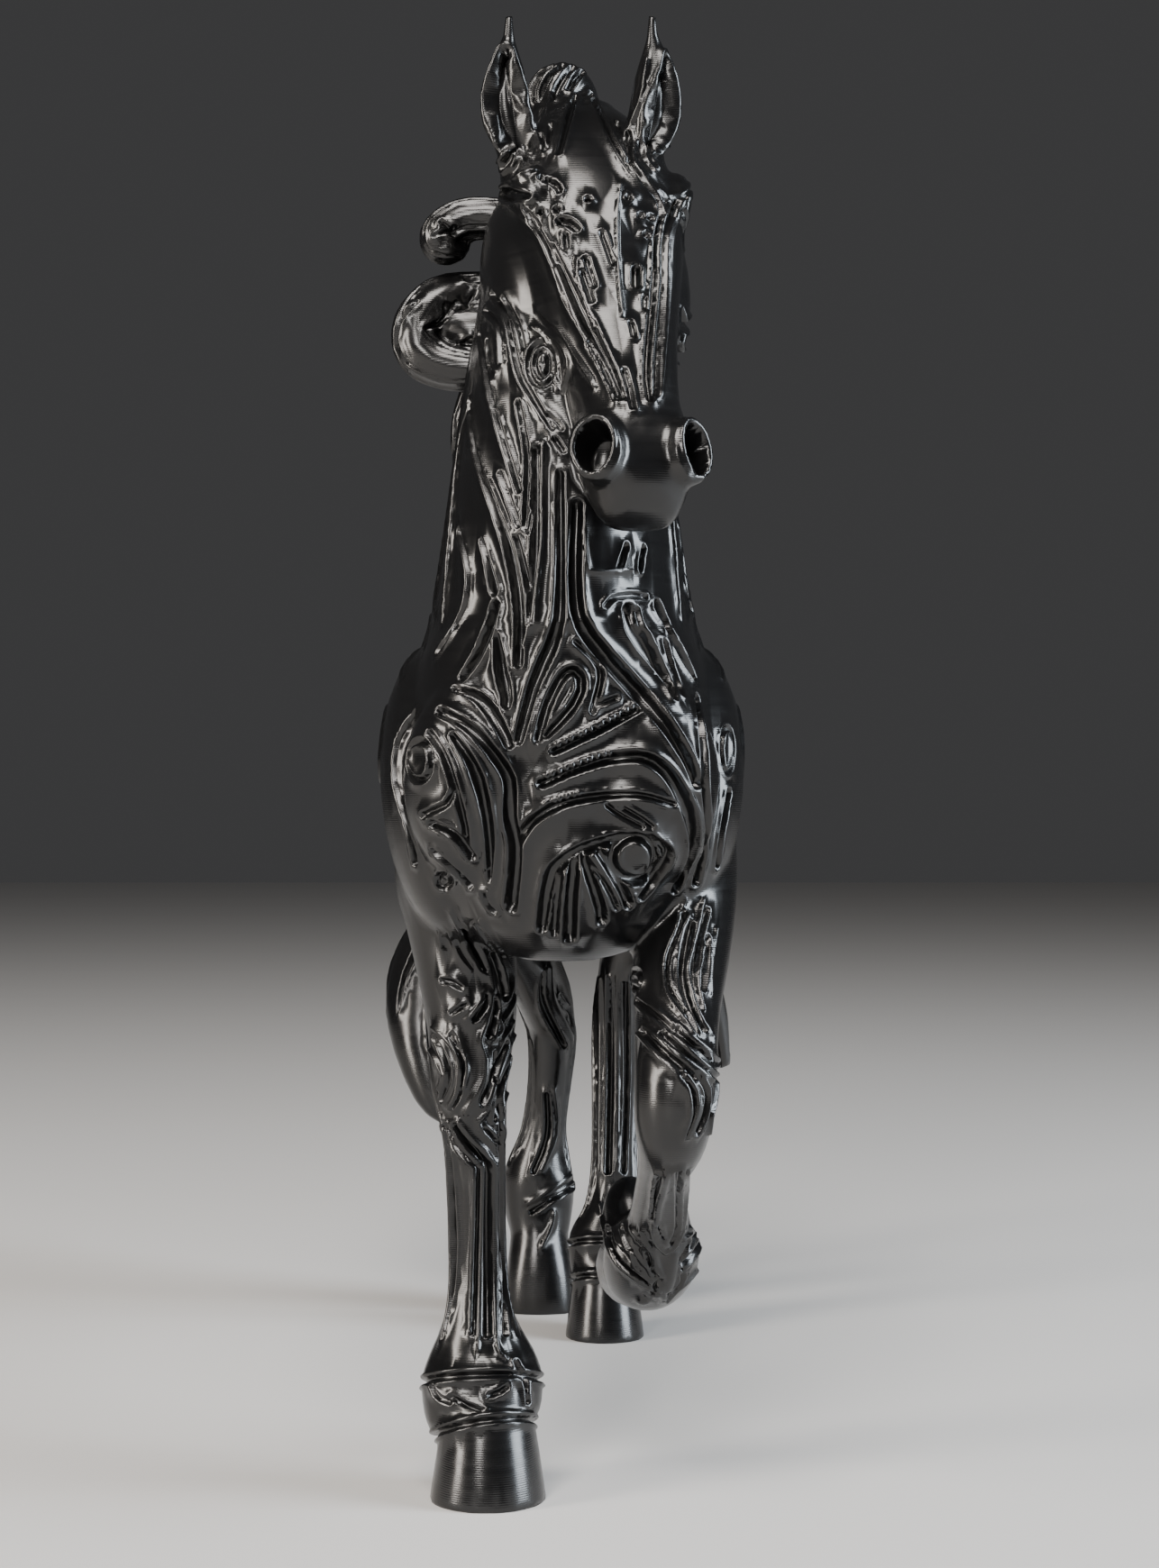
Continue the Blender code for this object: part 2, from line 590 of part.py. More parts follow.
def ornament(skin):
    """All the carving: the front as seen, and the sides and back in the same manner."""
    carving = Carving(skin)
    for points in FRONT_BODY:
        carving.front(points, clear=-11.5, width=0.9)
    for points in FRONT_LEGS:
        carving.front(points, width=0.7, depth=0.75)
    for points in FACE:
        carving.front(points, width=0.7, depth=0.8)
    # front whorls: low on the chest, on the right shoulder, on the cheek and on the left shoulder
    carving.front(spiral((6.9, 60.6), (2.2, 2.2), 0.8, start=-60), width=0.8)
    carving.front(spiral((-13.3, 70.2), (1.9, 1.3), 1, start=90), width=0.8, ends=(0, 0))
    carving.front(spiral((-1.5, 107.5), (1.5, 1.5), 0.95), width=0.7, ends=(0, 0))
    # neck: long lines that leave the cheek and spread over the shoulder
    for k in range(5):
        carving.flank(
            [(2 + 3.6 * k, 104 + 3 * k), (4.4 + 3.9 * k, 100), (3 + 4.6 * k, 93), (1.5 + 5.6 * k, 83 + 1.6 * k)]
        )
    # shoulder: an oval whorl inside arcs that run down into the forearm
    carving.flank(spiral((12, 72), (1.4, 4.2), 1.4, start=200))
    for k in range(3):
        carving.flank(
            [
                (7 - k, 78 + 3 * k), (13, 80.5 + 3.2 * k), (20 + 3 * k, 74 + k), (20 + 4 * k, 64),
                (15 + 4 * k, 56 - k),
            ]
        )
    # barrel: bands that sweep back from the shoulder and turn down before the thigh
    for k in range(5):
        carving.flank(
            [(30 + 1.5 * k, 88 - 6.5 * k), (40 + k, 86.5 - 6.5 * k), (50, 83 - 6 * k), (58 - k, 76 - 5.5 * k)]
        )
    for k in range(3):
        carving.flank([(50 + 3 * k, 90 - 2 * k), (57 + 2 * k, 84 - 2 * k), (61 + k, 76 - 2 * k), (62 - k, 67)])
    # haunch: a whorl inside arcs that run down the thigh
    carving.flank(spiral((76, 81), (1.4, 5.5), 1.6, start=30))
    for k in range(3):
        carving.flank(
            [(87, 83 + k), (77, 88 + 1.6 * k), (67 - 2.4 * k, 81), (68 - 2 * k, 70), (75 - k, 59 - 3 * k)]
        )
    carving.flank([(86, 80), (83, 70), (82, 60), (83, 50)])
    carving.flank([(79, 73), (76, 66), (78, 56), (82, 47)])
    for x in (-2.6, 2.6):
        carving.above([(x, 27), (x * 1.8, 45), (x * 1.2, 62), (x * 2.4, 82)])
    # head: eyes, cheeks and jaw
    eye = [(-6.5, 13.2), (-4.5, 9.8), (-1.2, 10.6), (0.4, 12.6), (-2.2, 14.0), (-6.5, 13.2)]
    carving.cheek(eye, width=0.6, depth=0.6)
    carving.cheek([(9, 9), (10, 16), (6, 21.5), (0, 26)], width=0.8, depth=0.8)
    carving.cheek([(5.5, 10), (6, 16), (3, 20), (-2, 25)], width=0.8, depth=0.8)
    for rows in (FORE_RIGHT, HIND_LEFT):
        for t in (9.3, 10.75):
            carving.wrapped(rows, [(t, 45 * k) for k in range(9)], width=0.8, depth=0.8, ends=(0, 0))
    for rows, last in ((HIND_LEFT, 8.6), (HIND_RIGHT, 7.8), (FORE_RIGHT, 8.4)):
        for angle in (-60, -120, 160, 20) if rows is not FORE_RIGHT else (150, 30):
            points = [(3.6, angle + 25), (5.5, angle), (7, angle - 8), (last, angle)]
            carving.wrapped(rows, points, width=0.75, depth=0.75)
    for angle in range(0, 360, 60):
        carving.wrapped(TAIL, [(0.8, angle), (2.5, angle + 30), (4.5, angle - 5), (6.6, angle + 25)])
    for rows in LOCKS:
        for angle in (45, 110, 250, 315):
            points = [(0.4, angle), (2, angle + 8), (len(rows) - 1.6, angle)]
            carving.wrapped(rows, points, side=BACK, width=0.7, depth=0.7)
    return carving


for old in list(bpy.data.objects):
    bpy.data.objects.remove(old, do_unlink=True)
horse = bpy.data.objects.new("horse", body_mesh())
bpy.context.scene.collection.objects.link(horse)
remesh = horse.modifiers.new("Skin", "REMESH")
remesh.mode = "VOXEL"
remesh.voxel_size = SKIN_VOXEL
smooth = horse.modifiers.new("Blend", "SMOOTH")
smooth.factor = 0.5
smooth.iterations = SKIN_SMOOTHING
bake(horse)
for sign in (-1, 1):
    mouth = HEAD @ Vector((sign * 5.0 - 0.4, -6.4, -40.7))
    hollow(horse, mouth, HEAD.to_3x3() @ Vector((sign * 0.62, -0.78, 0)), 1.85, 2.5, 3.0)
    mouth = Vector((EARS_MIDDLE + sign * (EARS_APART + 0.2), 0.5, EAR_BASE + 0.43 * EAR_LENGTH))
    hollow(horse, mouth, Vector((sign * 0.25, -1, 0)), 1.6, 0.3 * EAR_LENGTH, 1.6)
corners = [vertex.co for vertex in horse.data.vertices]
skin = BVHTree.FromPolygons(corners, [list(face.vertices) for face in horse.data.polygons])
cut(horse, ornament(skin))
bake(horse)
simpler = horse.modifiers.new("Facets", "DECIMATE")
simpler.use_collapse_triangulate = True
simpler.ratio = TRIANGLES / sum(len(f.vertices) - 2 for f in horse.data.polygons)
bake(horse)
for vertex in horse.data.vertices:
    vertex.co.z = max(vertex.co.z, 0)
horse.data.transform(Matrix.Scale(UNIT, 4) @ Matrix.Translation((-MIDDLE[0], -MIDDLE[1], 0)))
print_black = bpy.data.materials.new("print_black")
print_black.use_nodes = True
surface = print_black.node_tree.nodes["Principled BSDF"]
surface.inputs["Base Color"].default_value = (0.012, 0.012, 0.013, 1)
surface.inputs["Roughness"].default_value = 0.3
surface.inputs["Metallic"].default_value = 0.0
horse.data.shade_smooth()
horse.data.materials.clear()
horse.data.materials.append(print_black)
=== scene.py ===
"""The carved horse, finely cut, on a pale floor in soft studio light."""

import math

import bmesh
import bpy
import numpy as np
from mathutils import Matrix, Vector
from mathutils.bvhtree import BVHTree
from mathutils.kdtree import KDTree


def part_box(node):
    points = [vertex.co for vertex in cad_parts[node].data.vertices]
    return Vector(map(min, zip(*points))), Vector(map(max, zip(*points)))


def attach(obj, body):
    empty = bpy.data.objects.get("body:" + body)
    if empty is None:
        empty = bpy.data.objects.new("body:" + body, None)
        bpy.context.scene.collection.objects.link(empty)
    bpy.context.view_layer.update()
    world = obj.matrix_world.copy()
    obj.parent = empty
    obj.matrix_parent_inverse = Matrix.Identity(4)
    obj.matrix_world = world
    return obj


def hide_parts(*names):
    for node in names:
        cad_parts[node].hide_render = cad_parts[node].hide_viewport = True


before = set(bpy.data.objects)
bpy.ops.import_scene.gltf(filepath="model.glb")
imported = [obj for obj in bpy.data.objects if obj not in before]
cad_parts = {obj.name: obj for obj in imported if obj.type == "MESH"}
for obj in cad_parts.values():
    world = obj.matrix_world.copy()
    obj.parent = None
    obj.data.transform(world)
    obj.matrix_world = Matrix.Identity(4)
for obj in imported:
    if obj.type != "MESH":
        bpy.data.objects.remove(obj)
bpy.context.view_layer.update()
bpy.ops.object.select_all(action="DESELECT")

HEIGHT = 0.140  # soles to ear tips
UNITS_HIGH = 140.0
UNIT = HEIGHT / UNITS_HIGH
MIDDLE = (-3.0, 47.1)  # x and y of the middle of the figure, in units

# proportions of the figure, in units
EAR_BASE = 124.5
EAR_LENGTH = 15.9
EARS_MIDDLE = 1.8
EARS_APART = 7.05
TAIL_BACK = 104.5  # how far back the middle of the tail swings
FORE_HOOF = 5.6  # half width on the ground
HIND_HOOF = 4.9
HOOF_HEIGHT = 6.2

RING_SIDES = 40
SKIN_VOXEL = 0.3
BLEND_SPREAD = 0.5  # how far the forms melt into each other, in square units
TRIANGLES = 198000

# carving, in units
SLOPE = 0.9  # depth of a groove as a share of its width
DEPTH = 0.95
WALL = 2.2  # the higher, the steeper the sides of a groove
WALL_GAIN = 3.2  # and so much steeper for each unit of half width
LIP = 0.26  # height of the rounded lip beside a groove
LIP_WIDTH = 0.48
WIDER = 1.2  # a groove's sides slope, so it is cut this much wider than its dark floor
RIDGE = 0.36
RIDGE_WIDTH = 0.55  # the least full width of a ridge
RIDGE_SPREAD = 1.5
EAR_HOLLOW = 1.5
NOSTRIL = (1.85, 2.5, 3.0)  # half width, half height, depth
NOSTRIL_RIM = (2.0, 2.7)
RIM_WIDTH = 0.4
PIT = (0.3, -0.45)  # radius, height
LOBE = (1.3, 0.6)  # radius and height of a tuft's lobe, as shares of its size
HOLLOW_WALL = 0.45  # the part of a hollow's spread that its wall takes
HOLLOW_REACH = 2.5  # it moves skin this near its middle's level, facing its way at least so much
FACING = 0.25
DEEPEST = 1.6
BEAD = 0.34  # radius of a bead
BEAD_PITCH = 0.62
STEP = 0.1  # between samples of a stroke
JUMP = 4.0  # a stroke is parted where the skin leaps further than this
BREAST = -11.5  # strokes of the breast and neck lie behind this y, and the muzzle before it
STROKE_STEPS = 8  # steps of a curved stroke between two of its points
SHORTEST_RUN = 4  # places on the skin that a stroke needs
ANYWHERE = -99
CAST_TRIES = 8
CAST_STEP = 0.05
OUTSIDE = 40  # strokes start this far out at the sides, beside the head and above the back
OUTSIDE_HEAD = 15
ABOVE = 110
THICKEST = 13  # and reach this far round a limb
FLOWING = (0.2, 0.85, 0.95, 0.2)  # full widths along a stroke
FINE = (0.2, 0.4, 0.2)
THIN = (0.34, 0.34)
SLIGHT = (0.42, 0.42)

# the filament and its layers, in metres
LAYER = 0.0002  # thickness of a printed layer
LAYER_RELIEF = 0.000006  # how far the layers stand proud
LAYER_STRETCH = (0.04, 0.04, 1.0)
SPOTS = 400.0  # scale of the fine specks
BLACK = (0.003, 0.003, 0.0032, 1)
SMOOTHEST = 0.17  # roughness where the plastic ran smooth
UNEVENNESS = 0.12

SIDE = Vector((1, 0, 0))
BACK = Vector((0, 1, 0))
EYE = Vector((1.7, -243.6, 67.8))  # the front strokes are pressed onto the skin along sight lines from here

# the studio
FLOOR_SIZE = 3.0
LENS = 59.7  # millimetres, at the photo's angle of view

HEAD_NOD = -27.0
HEAD_TURN = 15.0
HEAD = (
    Matrix.Translation((1.7, 9.0, 131.0))
    @ Matrix.Rotation(math.radians(HEAD_TURN), 4, "Z")
    @ Matrix.Rotation(math.radians(HEAD_NOD), 4, "X")
)


def spline(rows, steps):
    """Catmull-Rom rows between the given rows, each row a tuple of numbers, steps to a span."""
    rows = [Vector(r) for r in rows]
    padded = [2 * rows[0] - rows[1], *rows, 2 * rows[-1] - rows[-2]]
    made = []
    for a, b, c, d in zip(padded, padded[1:], padded[2:], padded[3:]):
        for i in range(steps):
            t = i / steps
            square, cube = 2 * a - 5 * b + 4 * c - d, 3 * b - a - 3 * c + d
            made.append(0.5 * (2 * b + (c - a) * t + square * t**2 + cube * t**3))
    return made + [rows[-1]]


def loft(mesh, rows, steps=3, side=SIDE, square=2.0, egg=0.0, place=None):
    """A closed tube through rows of (x, y, z, half width, half depth).

    Width runs along side, square rounds the section from an ellipse (2) to a box, and egg widens
    one half of it.
    """
    made = spline(rows, steps)
    rings = []
    for i, row in enumerate(made):
        centre = Vector(row[:3])
        along = Vector(made[min(i + 1, len(made) - 1)][:3]) - Vector(made[max(i - 1, 0)][:3])
        along.normalize()
        across = (side - along * side.dot(along)).normalized()
        depth = along.cross(across)
        ring = []
        for k in range(RING_SIDES):
            angle = 2 * math.pi * k / RING_SIDES
            c, s = math.cos(angle), math.sin(angle)
            c = math.copysign(abs(c) ** (2 / square), c)
            s = math.copysign(abs(s) ** (2 / square), s)
            width = max(row[3], 0.05) * (1 + egg * s)
            point = centre + across * c * width + depth * s * max(row[4], 0.05)
            ring.append(mesh.verts.new(place @ point if place else point))
        rings.append(ring)
    for a, b in zip(rings, rings[1:]):
        for k in range(RING_SIDES):
            mesh.faces.new((a[k], a[(k + 1) % RING_SIDES], b[(k + 1) % RING_SIDES], b[k]))
    mesh.faces.new(list(reversed(rings[0])))
    mesh.faces.new(rings[-1])


def muscle(mesh, centre, half_sizes, tilt=(0, 0, 0), place=None):
    """An ellipsoid with these half sizes, turned by tilt degrees about x, y and z."""
    turn = Matrix.Identity(4)
    for axis, angle in zip("XYZ", tilt):
        turn = Matrix.Rotation(math.radians(angle), 4, axis) @ turn
    whole = Matrix.Translation(centre) @ turn @ Matrix.Diagonal((*half_sizes, 1))
    if place:
        whole = place @ whole
    bmesh.ops.create_uvsphere(mesh, u_segments=24, v_segments=14, radius=1, matrix=whole)


def trunk(mesh):
    """Barrel, chest, shoulders and croup, from the breast to the buttocks."""
    loft(
        mesh,
        [
            (0, -6.0, 69, 6, 7),
            (0, -3.0, 70, 12.0, 12.5),
            (0, 4, 72, 14.8, 17.5),
            (0, 14, 74, 15.2, 22),
            (0, 28, 74, 16.2, 20.5),
            (0, 42, 74, 16.4, 18.5),
            (0, 56, 76, 15.6, 17.5),
            (0, 68, 79, 14.6, 16.5),
            (0, 80, 80.5, 13, 14.5),
            (0, 88, 79.5, 9, 11),
            (0, 92, 78.5, 4, 5),
        ],
        egg=0.12,
    )
    for sign in (-1, 1):
        muscle(mesh, (sign * 10.9, 9, 67), (6.7, 10.5, 15), tilt=(-18, sign * 6, 0))
        muscle(mesh, (sign * 7.0, -1.2, 68), (7.8, 7.2, 10.5), tilt=(8, 0, 0))
        muscle(mesh, (sign * 11.8, 13, 60), (4.8, 8.5, 9))
        muscle(mesh, (sign * 9.3, 73, 78), (7.2, 16, 17), tilt=(12, 0, 0))
        muscle(mesh, (sign * 7.6, 80, 70), (5.8, 9, 14), tilt=(10, 0, 0))
        muscle(mesh, (sign * 10.2, 67, 67), (4.4, 8.5, 12), tilt=(-14, 0, 0))


def neck(mesh):
    """The breast and arched neck, from the breastbone up to the poll."""
    loft(
        mesh,
        [
            (0, 7.5, 53, 7.5, 8),
            (0, 6.5, 58, 12.4, 13.2),
            (0, 7.2, 66, 14.8, 16.2),
            (0, 9.5, 75, 14.6, 18.4),
            (0, 11.0, 82, 13.2, 19.6),
            (0, 9.8, 90, 11.7, 18.2),
            (0, 9.0, 98, 10.5, 16.0),
            (0, 9.4, 106, 9.4, 14.0),
            (0, 10.4, 114, 8.2, 12.2),
            (0.4, 11.0, 122, 7.0, 10.6),
            (1.0, 11.4, 129, 5.6, 8.2),
            (1.5, 11.0, 134.5, 3.6, 4.6),
        ],
    )


def skull(mesh):
    """The head in its own frame: the poll at the origin, the nose down -Z and the face towards -Y."""
    sections = [
        # down the face, half width, front, back
        (-3.5, 3.4, -2.0, 4.0),
        (0.5, 6.0, -4.8, 8.0),
        (5.0, 7.7, -6.6, 10.5),
        (11.0, 8.5, -7.6, 11.5),
        (17.0, 7.9, -7.4, 10.4),
        (23.0, 6.6, -6.8, 7.6),
        (29.0, 5.3, -6.4, 4.4),
        (34.5, 4.6, -6.4, 3.2),
        (38.0, 4.9, -6.8, 3.2),
        (41.3, 4.7, -6.2, 3.0),
        (44.0, 3.8, -4.6, 2.2),
        (45.2, 2.9, -3.0, 0.6),
    ]
    rows = [(0, (f + b) / 2, -s, w, (b - f) / 2) for s, w, f, b in sections]
    loft(mesh, rows, square=2.6, place=HEAD)
    for sign in (-1, 1):
        muscle(mesh, (sign * 6.6, 5.4, -14.5), (3.3, 7.0, 10.0), tilt=(-8, 0, 0), place=HEAD)
        muscle(mesh, (sign * 6.9, -4.0, -11.4), (1.7, 2.3, 3.4), tilt=(0, sign * 12, 0), place=HEAD)
        loft(
            mesh,
            [
                (sign * 2.2 - 0.4, -3.2, -39.8, 2.3, 3.0),
                (sign * 3.8 - 0.4, -4.8, -40.3, 2.5, 3.2),
                (sign * 4.7 - 0.4, -6.0, -40.6, 2.6, 3.3),
            ],
            side=Vector((1, sign * 0.6, 0)),
            place=HEAD,
        )


def ear(mesh, sign):
    """One pointed leaf-shaped ear, standing up beside the poll."""
    rows = [
        # share of the ear's length, shift towards the poll, y, half width, half depth
        (0, 1.6, 4.5, 2.2, 2.4),
        (0.22, 1.1, 3.4, 2.0, 2.3),
        (0.37, 0.3, 2.8, 2.4, 2.2),
        (0.5, 0, 2.4, 2.35, 2.0),
        (0.63, 0, 2.0, 2.0, 1.7),
        (0.76, 0.1, 1.7, 1.3, 1.2),
        (0.87, 0.3, 1.4, 0.6, 0.7),
        (1, 0.3, 1.2, 0.45, 0.45),
    ]
    middle = EARS_MIDDLE + sign * EARS_APART
    loft(mesh, [(middle - sign * shift, y, EAR_BASE + t * EAR_LENGTH, w, d) for t, shift, y, w, d in rows])


def standing_leg(mesh, rows, hoof_x, hoof_y, hoof_top, hoof_width):
    """A leg through its rows, then a flared hoof flat on the ground."""
    loft(mesh, rows)
    loft(
        mesh,
        [
            (hoof_x, hoof_y + 0.8, hoof_top + 1.5, hoof_width * 0.74, hoof_width * 0.8),
            (hoof_x, hoof_y + 0.4, hoof_top, hoof_width * 0.82, hoof_width * 0.9),
            (hoof_x, hoof_y, hoof_top * 0.5, hoof_width * 0.91, hoof_width * 0.98),
            (hoof_x, hoof_y - 0.3, -0.6, hoof_width * 1.01, hoof_width * 1.07),
        ],
        steps=2,
    )


FORE_RIGHT = [
    (-10.9, 10.5, 66, 5.6, 8.5),
    (-10.6, 11.0, 58, 5.4, 7.3),
    (-9.4, 9.8, 51, 5.0, 5.8),
    (-8.8, 8.7, 45, 4.4, 4.7),
    (-8.9, 7.9, 39.5, 3.7, 4.1),
    (-8.5, 7.9, 35.5, 3.2, 3.6),
    (-8.4, 8.0, 31.5, 2.8, 3.0),
    (-8.2, 8.0, 22.0, 2.7, 2.9),
    (-8.0, 7.7, 16.5, 3.4, 3.6),
    (-7.7, 7.1, 11.5, 5.7, 5.0),
    (-7.6, 5.7, 7.6, 5.6, 4.8),
    (-7.3, 4.9, 5.6, 4.4, 4.0),
]
FORE_LEFT = [
    (11.2, 10.0, 66, 5.6, 8.5),
    (11.8, 8.5, 58, 5.2, 7.2),
    (11.4, 4.0, 52, 4.7, 5.6),
    (10.8, -1.5, 46.5, 4.0, 4.6),
    (10.5, -6.0, 41.5, 3.8, 4.2),
    (10.3, -6.4, 37.8, 3.7, 4.1),
    (10.1, -4.6, 35.0, 3.2, 3.7),
    (9.6, -1.8, 32.4, 2.5, 3.0),
    (9.3, 2.0, 29.0, 2.5, 2.7),
    (9.3, 6.6, 25.2, 3.2, 3.2),
    (8.9, 9.4, 22.6, 4.6, 4.2),
    (8.4, 12.4, 20.3, 4.5, 4.3),
    (8.1, 15.0, 19.4, 3.8, 3.8),
]
HIND_LEFT = [
    (9.4, 72, 74, 6.4, 12),
    (10.2, 69, 64, 6.0, 10.5),
    (9.4, 72, 55, 4.8, 7.4),
    (8.0, 78, 47, 3.7, 5.2),
    (6.9, 83, 40.0, 3.3, 4.7),
    (6.5, 83, 35.0, 3.1, 4.0),
    (6.2, 82, 29, 2.8, 3.2),
    (6.0, 81, 21, 2.7, 3.0),
    (5.8, 80, 15.5, 3.3, 3.6),
    (5.4, 79.4, 11.5, 5.0, 4.7),
    (5.2, 78, 7.6, 4.8, 4.4),
    (5.0, 77.2, 5.6, 4.0, 3.8),
]
HIND_RIGHT = [
    (-9.4, 72, 74, 6.4, 12),
    (-10.2, 69, 64, 6.0, 10.5),
    (-8.6, 74, 55, 4.8, 7.2),
    (-5.2, 81, 47, 3.8, 5.2),
    (-2.6, 88, 40, 3.3, 4.7),
    (-1.8, 90, 35.5, 3.0, 4.0),
    (-2.2, 91.5, 29, 2.6, 3.2),
    (-3.0, 92.5, 23, 2.8, 3.1),
    (-3.6, 93.5, 17.5, 4.5, 4.6),
    (-3.6, 94.0, 13, 4.5, 4.4),
    (-3.4, 93.0, 9, 3.6, 3.7),
]
TAIL = [
    (0, 84, 88, 3.6, 3.6),
    (-0.5, 92, 92.5, 4.2, 3.8),
    (-3, TAIL_BACK - 5, 88.5, 5.2, 4.4),
    (-8, TAIL_BACK, 76, 5.8, 5.0),
    (-13, TAIL_BACK + 0.5, 61, 6.0, 5.2),
    (-15.2, TAIL_BACK - 2.5, 50, 4.9, 4.8),
    (-17.8, TAIL_BACK - 4, 42.5, 5.6, 5.0),
    (-18.6, 97, 36, 4.8, 4.2),
    (-17, 94, 27.5, 2.8, 2.6),
    (-14.5, 93, 24, 1.0, 1.0),
]


def legs(mesh):
    """Four legs in a trot: right fore and left hind planted, left fore lifted, right hind trailing."""
    standing_leg(mesh, FORE_RIGHT, -7.0, 3.9, HOOF_HEIGHT, FORE_HOOF)
    standing_leg(mesh, HIND_LEFT, 4.8, 76.5, HOOF_HEIGHT, HIND_HOOF)
    loft(mesh, FORE_LEFT)
    loft(
        mesh,
        [(8.1, 14.4, 19.5, 3.6, 3.7), (7.8, 17.5, 19.4, 4.0, 3.9), (7.5, 20.8, 18.8, 4.3, 4.3)],
        steps=2,
    )
    muscle(mesh, (7.0, 15.8, 23.8), (3.1, 4.0, 5.0), tilt=(0, -6, 0))
    loft(mesh, HIND_RIGHT)
    loft(
        mesh,
        [
            (-3.5, 93.8, 11.5, 3.5, 3.5),
            (-3.5, 92.6, 8.0, 3.9, 3.7),
            (-3.4, 91.2, 4.0, 4.3, 3.1),
            (-3.3, 90.2, -0.6, 4.1, 2.1),
        ],
        steps=2,
    )
    loft(
        mesh,
        [(12.6, 3.0, 51, 2.0, 2.6), (14.6, 4.6, 45.8, 1.3, 1.5), (15.6, 5.6, 40.6, 0.7, 0.7)],
        steps=2,
    )


LOCKS = [
    # each lock leaves the crest and curls on the horse's right: x, y, z, half thickness
    [
        (-2, 17, 123.3, 1.8), (-6.5, 18, 124.7, 1.9), (-10, 18.5, 124.6, 2), (-12.2, 18.5, 123.4, 1.9),
        (-12.4, 18.3, 122.2, 1.8), (-11.4, 18, 121.6, 1.5), (-10.4, 17.2, 122.2, 1.2),
    ],
    [
        (-3, 19, 117.7, 2), (-8.5, 21, 117.5, 2.2), (-12.4, 20.5, 116.6, 2.6), (-14.4, 19.8, 114, 2.7),
        (-14.2, 19, 111.4, 2.5), (-12.2, 18.5, 110, 2.2), (-9.5, 18, 109.4, 2), (-7, 17.5, 109.8, 1.6),
    ],
    [(-3, 19.5, 113.6, 2.6), (-7.5, 20, 113.6, 2.8), (-11, 19.5, 113.2, 2.4), (-12.2, 19, 112.4, 1.6)],
    [
        (-2, 22, 119, 1.8), (-6.5, 24.5, 112, 2.1), (-9.5, 25, 105, 1.9), (-9.5, 24, 99.5, 1.3),
        (-7.5, 23, 97, 0.9),
    ],
    [
        (-2, 24, 111, 1.8), (-6, 27.5, 104, 1.9), (-9.5, 28.5, 97, 1.7), (-10.5, 27, 91.5, 1.2),
        (-9, 25.5, 89.5, 0.9),
    ],
]


def mane(mesh):
    """A low crest of hair that rolls over the poll, with locks that blow to the horse's right."""
    loft(
        mesh,
        [
            (0, 14, 136.4, 1, 1),
            (0, 15, 134.6, 2.2, 1.8),
            (0.2, 17, 131.5, 2.6, 2.6),
            (0, 20.5, 124, 2.6, 2.8),
            (0, 22.5, 115, 2.6, 2.8),
            (0, 24, 106, 2.6, 2.6),
            (0, 26, 98.5, 2.2, 1.8),
        ],
    )
    muscle(mesh, (0, 12, 134.3), (3.7, 3.4, 4.4))
    for rows in LOCKS:
        loft(mesh, [(x, y, z, 1.5 * half, half) for x, y, z, half in rows], side=BACK)


def body_mesh():
    """All the rounded forms together, still overlapping, in units."""
    mesh = bmesh.new()
    trunk(mesh)
    neck(mesh)
    skull(mesh)
    for sign in (-1, 1):
        ear(mesh, sign)
    legs(mesh)
    loft(mesh, TAIL)
    mane(mesh)
    bmesh.ops.recalc_face_normals(mesh, faces=mesh.faces)
    data = bpy.data.meshes.new("horse")
    mesh.to_mesh(data)
    mesh.free()
    return data


